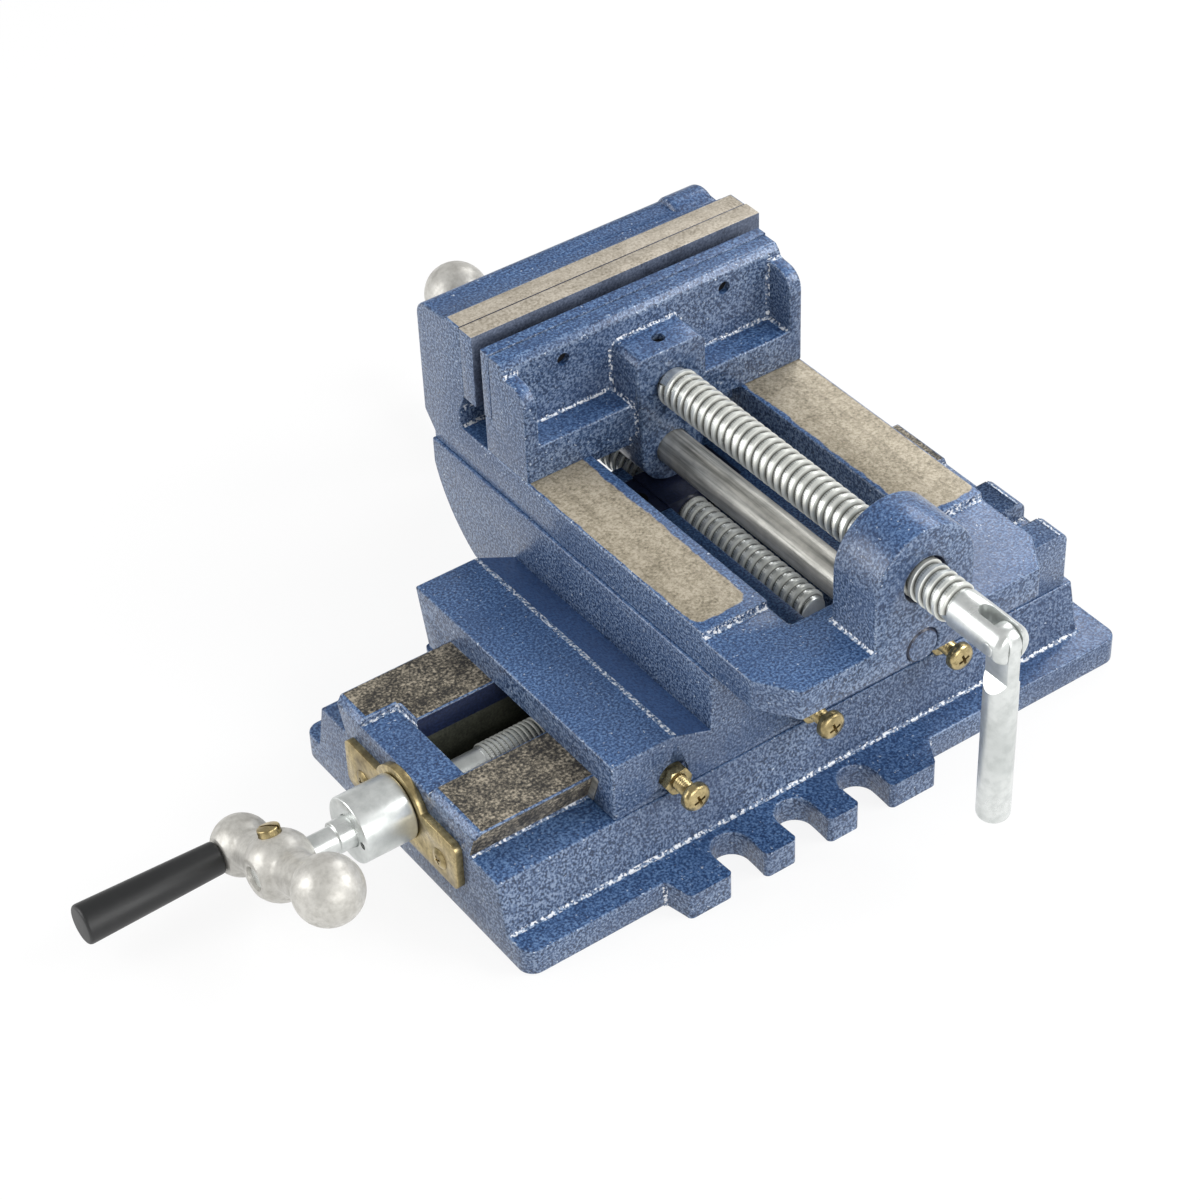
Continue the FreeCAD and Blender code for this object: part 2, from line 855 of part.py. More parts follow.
def saddle_lugs():
    """The two lugs at the far front corner and the plate that joins them."""
    x0 = rail_right - 1
    x1 = rail_right + lug_reach
    second_end = second_lug_start + second_lug_length
    plate = block(x0, x1, saddle_front, second_end, way_height, lug_plate_height)
    front = block(x0, x1, saddle_front, saddle_front + front_lug_length, skirt_bottom, wing_height)
    second = block(x0 + foot_step, x1, second_lug_start, second_end, way_height, wing_height)
    lugs = joined([plate, front, second])
    limit = rail_right + lug_reach - 0.01

    def top_corner(edge):
        start = edge.Vertexes[0]
        return runs_along(edge, "y") and start.X > limit and start.Z > lug_plate_height

    return rounded(lugs, lug_corner, top_corner)


def x_gib_places():
    return [x_gib_screw_first + number * x_gib_screw_pitch for number in range(gib_screw_count)]


def y_gib_places():
    return [y_gib_screw_first + number * y_gib_screw_pitch for number in range(gib_screw_count)]


def saddle_casting():
    """The saddle: way along X below, way along Y above, and the fork behind."""
    core = block(rail_left, rail_right, saddle_front, centre_rear, skirt_bottom, rail_height)
    fork = fork_width / 2
    arms = [
        tail_arm(rail_left, vise_place - fork),
        tail_arm(vise_place + fork, rail_right),
    ]
    casting = joined([core, saddle_wings(), saddle_lugs()] + arms)
    half = y_channel_width / 2
    floor = y_channel_floor
    nut_half = y_nut_width / 2 + nut_fit
    ear_half = y_nut_ear_span / 2 + nut_fit
    nut_start = y_nut_place - y_nut_length / 2 - nut_fit
    nut_end = y_nut_place + y_nut_length / 2 + nut_fit
    cutters = [
        saddle_cavity(),
        rail_cavity(),
        block(vise_place - half, vise_place + half, saddle_front - 1, centre_rear + 1, floor, rail_height),
        block(vise_place - nut_half, vise_place + nut_half, nut_start, nut_end, floor, rail_height),
        block(vise_place - ear_half, vise_place + ear_half, nut_start, nut_end,
              rail_floor - y_nut_ear_thickness, rail_height),
    ]
    hole = gib_screw_diameter / 2 + nut_clearance
    for x in x_gib_places():
        cutters.append(bar_y(hole, saddle_front - 1, 0, x, x_gib_screw_height))
        cutters.append(bar_y(spot_face_diameter / 2, saddle_front - 1, saddle_front + spot_face_depth, x,
                             x_gib_screw_height))
    for y in y_gib_places():
        cutters.append(bar_x(hole, vise_place, rail_right + 1, y, y_gib_screw_height))
        cutters.append(block(rail_right - gib_notch_depth, rail_right + 1, y - gib_notch_length / 2,
                             y + gib_notch_length / 2, valley_height, rail_height + 1))
    shank = nut_screw_diameter / 2 + screw_clearance
    for side in (-1, 1):
        x = x_nut_place + side * x_nut_screw_spacing / 2
        cutters.append(bar_z(shank, way_height - 1, way_height + nut_screw_length, x, 0))
        x = vise_place + side * y_nut_screw_spacing / 2
        cutters.append(bar_z(shank, rail_floor - nut_screw_length, rail_floor + 1, x, y_nut_place))
    return without(casting, cutters)


def x_gib():
    """The strip between the saddle and the base's near flank."""
    low = skirt_bottom + gib_end_gap
    high = way_height - gib_end_gap
    section = [
        (-base_flank(low), low),
        (-base_flank(high), high),
        (-base_flank(high) - gib_shift, high),
        (-base_flank(low) - gib_shift, low),
    ]
    return prism_x(section, saddle_start, rail_right + far_wing_reach)


def y_gib():
    """The strip between the saddle's far rail and the vise body's flank."""
    low = rail_floor + gib_end_gap
    high = rail_height - gib_end_gap
    section = [
        (vise_place + vise_flank(low), low),
        (vise_place + vise_flank(high), high),
        (vise_place + vise_flank(high) + gib_shift, high),
        (vise_place + vise_flank(low) + gib_shift, low),
    ]
    return prism_y(section, saddle_front, tail_end)


def gib_screw(length):
    """A gib screw along +X: its tip at x = 0, its head at the far end."""
    radius = gib_screw_diameter / 2
    head = length - gib_head_height
    outline = [
        (0, 0),
        (0, radius - gib_screw_chamfer),
        (gib_screw_chamfer, radius),
        (head, radius),
        (head, gib_head_diameter / 2),
        (length - gib_head_bevel, gib_head_diameter / 2),
        (length, gib_head_diameter / 2 - gib_head_bevel),
        (length, 0),
    ]
    return turned(outline)


def hex_nut(across, height, bore):
    """A hexagon nut along +X from x = 0, its corners turned off."""
    corner = across / math.sqrt(3)
    points = []
    for number in range(6):
        angle = math.radians(60 * number)
        points.append(vec(0, corner * math.cos(angle), corner * math.sin(angle)))
    prism = Part.Face(Part.makePolygon(points + points[:1])).extrude(vec(height, 0, 0))
    cap = (corner - across / 2) * gib_nut_corner_share
    turned_blank = turned([
        (0, 0), (0, across / 2), (cap, corner), (height - cap, corner), (height, across / 2), (height, 0),
    ])
    return prism.common(turned_blank).cut(bar_x(bore / 2, -1, height + 1, 0, 0))


def x_gib_tip():
    """Where a gib screw of the lower slide ends, just clear of the gib."""
    radius = gib_screw_diameter / 2 - gib_screw_chamfer
    return -base_flank(x_gib_screw_height + radius) - gib_shift - gib_tip_gap


def y_gib_tip():
    """Where a gib screw of the upper slide ends, just clear of the gib."""
    radius = gib_screw_diameter / 2 - gib_screw_chamfer
    return vise_place + vise_flank(y_gib_screw_height - radius) + gib_shift + gib_tip_gap


def x_gib_screws():
    tip = x_gib_tip()
    screws = []
    for x in x_gib_places():
        screw = gib_screw(tip - saddle_front + gib_screw_stand)
        screw.rotate(vec(0, 0, 0), vec(0, 0, 1), -90)
        screw.translate(vec(x, tip, x_gib_screw_height))
        screws.append(screw)
    return group(screws)


def y_gib_screws():
    tip = y_gib_tip()
    seat = rail_right - gib_notch_depth
    screws = []
    for y in y_gib_places():
        screw = gib_screw(seat - tip + gib_screw_stand)
        screw.translate(vec(tip, y, y_gib_screw_height))
        screws.append(screw)
    return group(screws)


def gib_lock_nut():
    return hex_nut(gib_nut_across, gib_nut_height, gib_screw_diameter + 2 * nut_clearance)


def x_gib_lock_nuts():
    nuts = []
    for x in x_gib_places():
        nut = gib_lock_nut()
        nut.rotate(vec(0, 0, 0), vec(0, 0, 1), -90)
        nut.translate(vec(x, saddle_front + spot_face_depth, x_gib_screw_height))
        nuts.append(nut)
    return group(nuts)


def y_gib_lock_nuts():
    nuts = []
    for y in y_gib_places():
        nut = gib_lock_nut()
        nut.translate(vec(rail_right - gib_notch_depth, y, y_gib_screw_height))
        nuts.append(nut)
    return group(nuts)


def x_nut():
    """The feed nut of the lower slide, bolted up under the saddle."""
    half = x_nut_width / 2
    reach = x_nut_length / 2
    bottom = x_screw_height - screw_diameter / 2 - nut_below_screw
    body = block(x_nut_place - reach, x_nut_place + reach, -half, half, bottom, way_height)
    flange = block(
        x_nut_place - x_nut_flange_length / 2,
        x_nut_place + x_nut_flange_length / 2,
        -half,
        half,
        way_height - x_nut_flange_thickness,
        way_height,
    )
    nut = joined([body, flange])
    cutters = [bar_x(screw_diameter / 2 + nut_clearance, saddle_start, rail_right, 0, x_screw_height)]
    for side in (-1, 1):
        x = x_nut_place + side * x_nut_screw_spacing / 2
        cutters.append(bar_z(nut_screw_diameter / 2 + screw_clearance, bottom, way_height + 1, x, 0))
    return without(nut, cutters)


def x_nut_screws():
    """The two screws that hold the lower feed nut up to the saddle."""
    seat = way_height - x_nut_flange_thickness
    screws = []
    for side in (-1, 1):
        x = x_nut_place + side * x_nut_screw_spacing / 2
        head = bar_z(nut_screw_head / 2, seat - nut_screw_head_height, seat, x, 0)
        shank = bar_z(nut_screw_diameter / 2, seat - 0.5, way_height + nut_screw_length - 1, x, 0)
        screws.append(joined([head, shank]))
    return group(screws)


def y_nut():
    """The feed nut of the upper slide, let into the saddle and held by two ears."""
    half = y_nut_width / 2
    y0 = y_nut_place - y_nut_length / 2
    y1 = y_nut_place + y_nut_length / 2
    top = rail_floor
    seat = top - y_nut_ear_thickness
    body = block(vise_place - half, vise_place + half, y0, y1, y_channel_floor, top + y_nut_crown)
    ears = block(vise_place - y_nut_ear_span / 2, vise_place + y_nut_ear_span / 2, y0, y1, seat, top)
    nut = joined([body, ears])
    cutters = [bar_y(screw_diameter / 2 + nut_clearance, y0 - 1, y1 + 1, vise_place, y_screw_height)]
    for side in (-1, 1):
        x = vise_place + side * y_nut_screw_spacing / 2
        cutters.append(bar_z(nut_screw_diameter / 2 + screw_clearance, seat - 1, top + 1, x, y_nut_place))
        sink = sunk_head(screw_clearance)
        sink.translate(vec(x, y_nut_place, top))
        cutters.append(sink)
    return without(nut, cutters)


def sunk_head(margin):
    """The head cone of an ear screw of the upper nut, its flat face at z = 0."""
    cone = countersink(nut_screw_diameter + margin, nut_screw_head + margin, 0)
    cone.rotate(vec(0, 0, 0), vec(0, 1, 0), -90)
    return cone


def y_nut_screws():
    """The two countersunk screws in the ears of the upper feed nut."""
    top = rail_floor
    screws = []
    for side in (-1, 1):
        x = vise_place + side * y_nut_screw_spacing / 2
        head = sunk_head(0)
        head.translate(vec(x, y_nut_place, top))
        shank = bar_z(nut_screw_diameter / 2, rail_floor - nut_screw_length + 1, top, x, y_nut_place)
        screws.append(joined([head, shank]))
    return group(screws)


# Vise body

def body_slab():
    """The body's plan with chamfered front corners, from the rails to the ways."""
    outline = [
        (vise_left, vise_back),
        (vise_left, vise_front + front_chamfer_y),
        (vise_left + front_chamfer_x, vise_front),
        (vise_right - front_chamfer_x, vise_front),
        (vise_right, vise_front + front_chamfer_y),
        (vise_right, vise_back),
    ]
    return prism_z(outline, rail_height, way_top)


def fixed_jaw():
    """The fixed jaw, with a relief under its plate and a rounded back edge."""
    face = fixed_jaw_face
    back = vise_back
    shoulder = face + machined_top_width
    edge_top = jaw_top - back_edge_drop
    outline = [
        (face + fixed_relief_depth, way_top - 1),
        (face + fixed_relief_depth, fixed_relief_height),
        (face, fixed_plate_bottom),
        (face, jaw_top),
        (shoulder, jaw_top),
        (shoulder + machined_top_step, edge_top),
        (back, edge_top),
        (back, way_top - 1),
    ]

    def back_edge(edge):
        start = edge.Vertexes[0]
        return runs_along(edge, "x") and start.Y > back - 0.01 and start.Z > way_top

    jaw = rounded(prism_x(outline, vise_left, vise_right), back_edge_radius, back_edge)
    centre = vise_place + bump_start
    bump = bar_x(bump_radius, centre - bump_length / 2, centre + bump_length / 2,
                 back - back_edge_radius - bump_rise, edge_top + bump_rise - bump_radius)
    bump = rounded(bump, bump_rise, lambda edge: edge.Curve.TypeId == "Part::GeomCircle")
    end = vise_right + fixed_jaw_overhang
    overhang = block(vise_right - 1, end, face, shoulder, fixed_plate_bottom, jaw_top)
    return joined([jaw, bump, overhang])


def front_boss():
    """The boss that is the clamp screw's nut, half round on top."""
    half = boss_width / 2
    y1 = vise_front + boss_length
    foot = block(vise_place - half, vise_place + half, vise_front, y1, rail_height, clamp_height)
    return joined([foot, bar_y(half, vise_front, y1, vise_place, clamp_height)])


def bearing_wall():
    """The wall that hangs down between the saddle's arms and carries the feed screw."""
    half = bearing_wall_width / 2
    wall = block(
        vise_place - half,
        vise_place + half,
        bearing_wall_face - bearing_wall_thickness,
        bearing_wall_face,
        bearing_wall_bottom,
        rail_height + 1,
    )
    return rounded(
        wall,
        bearing_wall_corner,
        lambda edge: runs_along(edge, "y") and edge.Vertexes[0].Z < bearing_wall_bottom + 0.01,
    )


def male_dovetail():
    """The dovetail along Y under the body."""
    low = rail_floor + dovetail_floor_gap
    section = [
        (vise_place - vise_flank(low), low),
        (vise_place - vise_flank(rail_height), rail_height),
        (vise_place - vise_flank(rail_height), rail_height + 1),
        (vise_place + vise_flank(rail_height), rail_height + 1),
        (vise_place + vise_flank(rail_height), rail_height),
        (vise_place + vise_flank(low), low),
    ]
    return prism_y(section, dovetail_front, dovetail_back)


def jaw_plate_holes(diameter, y0, y1, height):
    """The two holes of a jaw plate's screws."""
    return [
        bar_y(diameter / 2, y0, y1, vise_place + side * jaw_plate_screw_spacing / 2, height)
        for side in (-1, 1)
    ]


def vise_body():
    """The body casting: ways, front boss, fixed jaw and rear bearing wall."""
    casting = joined([body_slab(), male_dovetail(), bearing_wall(), front_boss(), fixed_jaw()])
    half = jaw_slot_width / 2
    chamfer = prism_x(
        [
            (vise_back - back_chamfer_depth, rail_height - 1),
            (vise_back - back_chamfer_depth, rail_height + back_chamfer_foot),
            (vise_back, rail_height + back_chamfer_rise),
            (vise_back + 1, rail_height + back_chamfer_rise),
            (vise_back + 1, rail_height - 1),
        ],
        vise_left - 1,
        vise_right + 1,
    )
    side_stock = (vise_width - bearing_wall_width) / 2
    rod = guide_rod_diameter / 2 + guide_rod_fit
    thread = clamp_screw_diameter / 2 + nut_clearance
    boss_back = vise_front + boss_length
    land_left = block(vise_left - 1, vise_place - boss_width / 2, vise_front - 1, front_land_end,
                      front_land_height, way_top + 1)
    land_right = block(vise_place + boss_width / 2, vise_right + 1, vise_front - 1, front_land_end,
                       front_land_height, way_top + 1)
    land_middle = block(vise_left, vise_right, boss_back, front_land_end, front_land_height, way_top + 1)
    cutters = [
        block(vise_place - half, vise_place + half, jaw_slot_front, fixed_jaw_face, rail_floor, way_top + 1),
        land_left,
        land_right,
        land_middle,
        chamfer.common(joined([
            block(vise_left - 1, vise_left + side_stock, 0, vise_back + 2, rail_height - 2, way_top),
            block(vise_right - side_stock, vise_right + 1, 0, vise_back + 2, rail_height - 2, way_top),
        ])),
        bar_y(thread, vise_front - 1, boss_back + 1, vise_place, clamp_height),
        bar_y(rod, vise_front - 1, fixed_jaw_face + guide_rod_seat, vise_place, guide_rod_height),
    ]
    bores = bearing_bore(bearing_wall_thickness)
    bores += plate_screw_holes(y_plate_screw_spacing, plate_screw_length)
    cutters += [outward_y(bore) for bore in bores]
    cutters += jaw_plate_holes(
        jaw_screw_diameter + 2 * screw_clearance,
        fixed_jaw_face - 1,
        fixed_jaw_face - fixed_plate_thickness + fixed_jaw_screw_length + 1,
        fixed_plate_screw_height,
    )
    return without(casting, cutters)


def jaw_plate(end, y0, y1, z0, z1, inwards, screw_height):
    """A jaw plate with two countersunk holes; the heads lie in the face that looks to the other jaw."""
    plate = block(vise_left, end, y0, y1, z0, z1)
    cutters = jaw_plate_holes(jaw_screw_diameter + 2 * screw_clearance, y0 - 1, y1 + 1, screw_height)
    for side in (-1, 1):
        sink = jaw_screw_head_cone(inwards, screw_clearance)
        sink.translate(vec(vise_place + side * jaw_plate_screw_spacing / 2, 0, screw_height))
        cutters.append(sink)
    return without(plate, cutters)


def plate_face(inwards):
    """The working face of a jaw plate: the fixed one points inwards to +Y, the movable one to -Y."""
    return fixed_jaw_face - fixed_plate_thickness if inwards > 0 else jaw_front


def jaw_screw_head_cone(inwards, margin):
    """The head cone of a jaw plate screw; its flat face looks to the other jaw."""
    cone = countersink(jaw_screw_diameter + 2 * margin, jaw_screw_head + 2 * margin, 0)
    cone.rotate(vec(0, 0, 0), vec(0, 0, 1), -90 * inwards)
    cone.translate(vec(0, plate_face(inwards), 0))
    return cone


def fixed_jaw_plate():
    top = jaw_top + fixed_plate_stand
    end = vise_right + fixed_jaw_overhang
    front = plate_face(1)
    return jaw_plate(end, front, fixed_jaw_face, fixed_plate_bottom, top, 1, fixed_plate_screw_height)


def movable_jaw_plate():
    back = jaw_front - movable_plate_thickness
    top = fixed_plate_bottom + movable_plate_height
    return jaw_plate(vise_right, back, jaw_front, fixed_plate_bottom, top, -1, movable_plate_screw_height)


def jaw_screws(inwards, length, height):
    """Two countersunk screws whose heads lie in a plate's face and whose tips point away."""
    face = plate_face(inwards)
    screws = []
    for side in (-1, 1):
        x = vise_place + side * jaw_plate_screw_spacing / 2
        y0, y1 = sorted((face, face + inwards * length))
        head = jaw_screw_head_cone(inwards, 0)
        head.translate(vec(x, 0, height))
        screws.append(joined([bar_y(jaw_screw_diameter / 2, y0, y1, x, height), head]))
    return group(screws)


def guide_rod():
    """The rod between the ways, fixed in the front wall and under the fixed jaw."""
    end = fixed_jaw_face + guide_rod_seat - guide_rod_end_gap
    return bar_y(guide_rod_diameter / 2, vise_front, end, vise_place, guide_rod_height)


# Movable jaw

def movable_jaw():
    """The jaw casting: foot on the ways, wall, end ribs, screw boss, and the lug on the guide rod."""
    wall_front = jaw_front - movable_plate_thickness
    section = [
        (jaw_back, way_top),
        (jaw_back, jaw_foot_top),
        (jaw_wall_back, jaw_foot_top),
        (jaw_wall_back, jaw_wall_top - jaw_wall_bevel),
        (jaw_wall_back + jaw_wall_bevel, jaw_wall_top),
        (wall_front, jaw_wall_top),
        (wall_front, fixed_plate_bottom),
        (jaw_front, fixed_plate_bottom),
        (jaw_front, way_top),
    ]
    pieces = [prism_x(section, vise_left, vise_right)]
    rib_section = [
        (jaw_back, jaw_foot_top - 1),
        (jaw_back, jaw_rib_top),
        (jaw_wall_back + 1, jaw_rib_top),
        (jaw_wall_back + 1, jaw_foot_top - 1),
    ]
    for x0 in (vise_left, vise_right - jaw_rib_thickness):
        rib = prism_x(rib_section, x0, x0 + jaw_rib_thickness)
        pieces.append(rounded(
            rib,
            jaw_rib_radius,
            lambda edge: runs_along(edge, "x") and edge.Vertexes[0].Y < jaw_back + 0.01
            and edge.Vertexes[0].Z > jaw_foot_top,
        ))
    half = jaw_boss_width / 2
    boss_outline = [
        (vise_place - half, jaw_foot_top - 1),
        (vise_place - half, jaw_boss_top - jaw_boss_chamfer),
        (vise_place - half + jaw_boss_chamfer, jaw_boss_top),
        (vise_place + half - jaw_boss_chamfer, jaw_boss_top),
        (vise_place + half, jaw_boss_top - jaw_boss_chamfer),
        (vise_place + half, jaw_foot_top - 1),
    ]
    pieces.append(prism_y(boss_outline, jaw_boss_front, jaw_wall_back + 1))
    lug_back = jaw_back + jaw_lug_length
    pieces.append(block(vise_place - jaw_lug_radius, vise_place + jaw_lug_radius, jaw_boss_front, lug_back,
                        guide_rod_height, jaw_foot_top))
    pieces.append(bar_y(jaw_lug_radius, jaw_boss_front, lug_back, vise_place, guide_rod_height))
    tongue = jaw_slot_width / 2 - jaw_lug_gap
    pieces.append(block(vise_place - tongue, vise_place + tongue, jaw_back + jaw_tongue_inset, lug_back,
                        way_top - jaw_tongue_depth, way_top + 1))
    retaining_y = jaw_boss_front + retaining_screw_inset
    nose = clamp_nose_diameter / 2 + journal_clearance
    nose_end = jaw_boss_front + clamp_nose_length + clamp_nose_gap
    cutters = [
        bar_y(nose, jaw_boss_front - 1, nose_end, vise_place, clamp_height),
        bar_y(guide_rod_diameter / 2 + guide_rod_fit, jaw_boss_front - 1, lug_back + 1, vise_place,
              guide_rod_height),
        bar_z(retaining_screw_diameter / 2 + screw_clearance, clamp_height, jaw_boss_top + 1, vise_place,
              retaining_y),
    ]
    cutters += jaw_plate_holes(jaw_screw_diameter + 2 * screw_clearance, jaw_wall_back - 1, wall_front + 1,
                               movable_plate_screw_height)
    return without(joined(pieces), cutters)


def jaw_retaining_screw():
    """The set screw whose tip runs in the clamp screw's groove."""
    return bar_z(
        retaining_screw_diameter / 2,
        clamp_height + clamp_groove_diameter / 2 + retaining_clearance,
        jaw_boss_top - retaining_screw_sink,
        vise_place,
        jaw_boss_front + retaining_screw_inset,
    )


# Clamp screw and handle

def clamp_screw():
    """The clamp screw: grooved nose in the jaw, thread, and a slotted end for the handle."""
    shoulder = jaw_boss_front - clamp_shoulder_gap
    groove = jaw_boss_front + retaining_screw_inset
    half_groove = retaining_screw_diameter / 2 + retaining_clearance
    nose_end = jaw_boss_front + clamp_nose_length
    nose = clamp_nose_diameter / 2
    neck = clamp_groove_diameter / 2
    outline = [
        (clamp_screw_end, 0),
        (clamp_screw_end, clamp_shank_diameter / 2),
        (clamp_thread_end, clamp_shank_diameter / 2),
        (clamp_thread_end, clamp_screw_diameter / 2),
        (shoulder, clamp_screw_diameter / 2),
        (shoulder, nose),
        (groove - half_groove, nose),
        (groove - half_groove, neck),
        (groove + half_groove, neck),
        (groove + half_groove, nose),
        (nose_end, nose),
        (nose_end, 0),
    ]
    screw = turned(outline)
    screw = rounded(
        screw,
        clamp_end_radius,
        lambda edge: edge.Curve.TypeId == "Part::GeomCircle" and edge.BoundBox.XMax < clamp_screw_end + 0.01,
    )
    screw.rotate(vec(0, 0, 0), vec(0, 0, 1), 90)
    screw.translate(vec(vise_place, 0, clamp_height))
    half = handle_slot_width / 2
    reach = clamp_shank_diameter
    start = handle_slot_start - half
    slot = joined([
        block(vise_place - half, vise_place + half, clamp_screw_end - 1, start,
              clamp_height - reach, clamp_height + reach),
        bar_z(half, clamp_height - reach, clamp_height + reach, vise_place, start),
    ])
    hole = handle_pin_diameter / 2 + handle_pin_clearance
    pin_hole = bar_x(hole, vise_place - reach, vise_place + reach, handle_pin_place, clamp_height)
    return without(screw, [slot, pin_hole])


def handle_pin():
    """The pin across the slot that the handle hangs on."""
    half = clamp_shank_diameter / 2 + handle_pin_stand
    radius = handle_pin_diameter / 2
    return bar_x(radius, vise_place - half, vise_place + half, handle_pin_place, clamp_height)


def handle_bar():
    """The hanging handle: a round rod milled to a flat tang at its top."""
    radius = handle_diameter / 2
    bottom = clamp_height - handle_length
    rod = bar_z(radius, bottom, clamp_height, vise_place, handle_pin_place)
    rod = rounded(
        rod,
        handle_end_radius,
        lambda edge: edge.Curve.TypeId == "Part::GeomCircle" and edge.BoundBox.ZMax < bottom + 0.01,
    )
    half = handle_tang_thickness / 2
    shoulder = clamp_height - handle_tang_length
    cutters = []
    for side in (-1, 1):
        cheek = [
            (vise_place + side * half, clamp_height + 1),
            (vise_place + side * half, shoulder),
            (vise_place + side * (radius + 1), shoulder - handle_shoulder_length),
            (vise_place + side * (radius + 1), clamp_height + 1),
        ]
        cutters.append(prism_y(cheek, handle_pin_place - radius - 1, handle_pin_place + radius + 1))
    head = bar_x(radius, vise_place - half, vise_place + half, handle_pin_place, clamp_height)
    bar = joined([without(rod, cutters), head])
    hole = handle_pin_diameter / 2 + handle_pin_clearance
    return bar.cut(bar_x(hole, vise_place - radius, vise_place + radius, handle_pin_place, clamp_height))


def x_parts():
    """The lower feed screw with its bearing plate and crank."""
    far = x_plate_face - (upper_end - far_end_wall - x_thread_end_gap)
    near = -x_thread_run_in
    return {
        "x_bearing_plate": outward_x(bearing_plate(x_plate_width, x_plate_screw_spacing)),
        "x_plate_screws": outward_x(bearing_plate_screws(x_plate_screw_spacing)),
        "x_feed_screw": outward_x(feed_screw(far, near)),
        "x_collar": outward_x(collar()),
        "x_crank_arm": outward_x(crank_arm(x_crank_angle)),
        "x_crank_set_screw": outward_x(crank_set_screw(x_crank_angle)),
        "x_grip_spindle": outward_x(grip_spindle(x_crank_angle)),
        "x_grip": outward_x(crank_grip(x_crank_angle)),
    }


def y_parts():
    """The upper feed screw with its bearing plate and crank."""
    far = vise_front + y_thread_inset - y_plate_face
    near = -plate_thickness - bearing_wall_thickness - y_thread_end_gap
    return {
        "y_bearing_plate": outward_y(bearing_plate(y_plate_width, y_plate_screw_spacing)),
        "y_plate_screws": outward_y(bearing_plate_screws(y_plate_screw_spacing)),
        "y_feed_screw": outward_y(feed_screw(far, near)),
        "y_collar": outward_y(collar()),
        "y_crank_arm": outward_y(crank_arm(y_crank_angle)),
        "y_crank_set_screw": outward_y(crank_set_screw(y_crank_angle)),
        "y_grip_spindle": outward_y(grip_spindle(y_crank_angle)),
        "y_grip": outward_y(crank_grip(y_crank_angle)),
    }


def all_parts():
    """Every node of the vise by its name."""
    parts = {
        "base_casting": base_casting(),
        "saddle_casting": saddle_casting(),
        "x_gib": x_gib(),
        "x_gib_screws": x_gib_screws(),
        "x_gib_lock_nuts": x_gib_lock_nuts(),
        "x_nut": x_nut(),
        "x_nut_screws": x_nut_screws(),
        "y_gib": y_gib(),
        "y_gib_screws": y_gib_screws(),
        "y_gib_lock_nuts": y_gib_lock_nuts(),
        "y_nut": y_nut(),
        "y_nut_screws": y_nut_screws(),
        "vise_body_casting": vise_body(),
        "fixed_jaw_plate": fixed_jaw_plate(),
        "fixed_jaw_screws": jaw_screws(1, fixed_jaw_screw_length, fixed_plate_screw_height),
        "guide_rod": guide_rod(),
        "movable_jaw_casting": movable_jaw(),
        "movable_jaw_plate": movable_jaw_plate(),
        "movable_jaw_screws": jaw_screws(-1, movable_jaw_screw_length, movable_plate_screw_height),
        "jaw_retaining_screw": jaw_retaining_screw(),
        "clamp_screw": clamp_screw(),
        "handle_pin": handle_pin(),
        "handle_bar": handle_bar(),
    }
    parts.update(x_parts())
    parts.update(y_parts())
    return parts


os.makedirs("parts", exist_ok=True)
for node, shape in all_parts().items():
    shape.exportStep(os.path.join("parts", node + ".step"))
    print(node, len(shape.Solids), round(shape.Volume), shape.isValid())
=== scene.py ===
import logging
import math
from dataclasses import dataclass, field
from enum import Enum
from typing import Callable, Iterable, Optional, Sequence

import bmesh
import bpy
from mathutils import Matrix, Vector


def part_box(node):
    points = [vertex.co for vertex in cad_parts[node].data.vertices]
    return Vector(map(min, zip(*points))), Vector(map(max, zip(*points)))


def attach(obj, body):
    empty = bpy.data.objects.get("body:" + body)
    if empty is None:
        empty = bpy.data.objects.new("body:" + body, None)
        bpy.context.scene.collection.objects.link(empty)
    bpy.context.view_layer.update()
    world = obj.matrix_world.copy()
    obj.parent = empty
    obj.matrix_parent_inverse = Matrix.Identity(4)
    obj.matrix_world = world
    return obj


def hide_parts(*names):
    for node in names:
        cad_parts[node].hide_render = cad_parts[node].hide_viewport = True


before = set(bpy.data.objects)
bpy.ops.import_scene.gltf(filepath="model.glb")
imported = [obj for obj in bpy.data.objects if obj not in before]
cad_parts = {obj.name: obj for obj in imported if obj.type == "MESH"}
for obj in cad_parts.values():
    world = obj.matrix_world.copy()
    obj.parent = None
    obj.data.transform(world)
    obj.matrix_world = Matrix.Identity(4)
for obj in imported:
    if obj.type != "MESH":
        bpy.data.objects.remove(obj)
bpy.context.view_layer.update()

log = logging.getLogger("cross_slide_vise")

Point = tuple[float, float]
Triple = tuple[float, float, float]
Colour = Triple
Socket = bpy.types.NodeSocket
EdgeTest = Callable[[bmesh.types.BMEdge, float], bool]

MM = 0.001
WELD = 2e-6
SEAL = 1e-6
ON_AXIS = 1e-7
NEAR = 0.1 * MM
BROAD_FACE = 4 * MM ** 2
FLAT_ANGLE = 0.4
LEVEL = 0.99
OVERHUNG = -0.2
SIDE_SHARE = 0.45
RECESS_TAPER = 0.45


class Axis(Enum):
    """The direction in which a turned piece's own X axis is laid."""

    TOWARDS_FAR_END = (1.0, 0.0, 0.0)
    TOWARDS_CRANK = (-1.0, 0.0, 0.0)
    TOWARDS_FIXED_JAW = (0.0, 1.0, 0.0)
    TOWARDS_HANDLE = (0.0, -1.0, 0.0)
    UP = (0.0, 0.0, 1.0)


def from_screen(red: int, green: int, blue: int) -> Colour:
    """Turns a screen colour into the linear one that shaders use.

    Args:
        red: Red, 0 to 255.
        green: Green, 0 to 255.
        blue: Blue, 0 to 255.

    Returns:
        The colour in linear values from 0 to 1.
    """
    linear = []
    for value in (red, green, blue):
        share = value / 255
        linear.append(share / 12.92 if share <= 0.04045 else ((share + 0.055) / 1.055) ** 2.4)
    return tuple(linear)


# Finishes

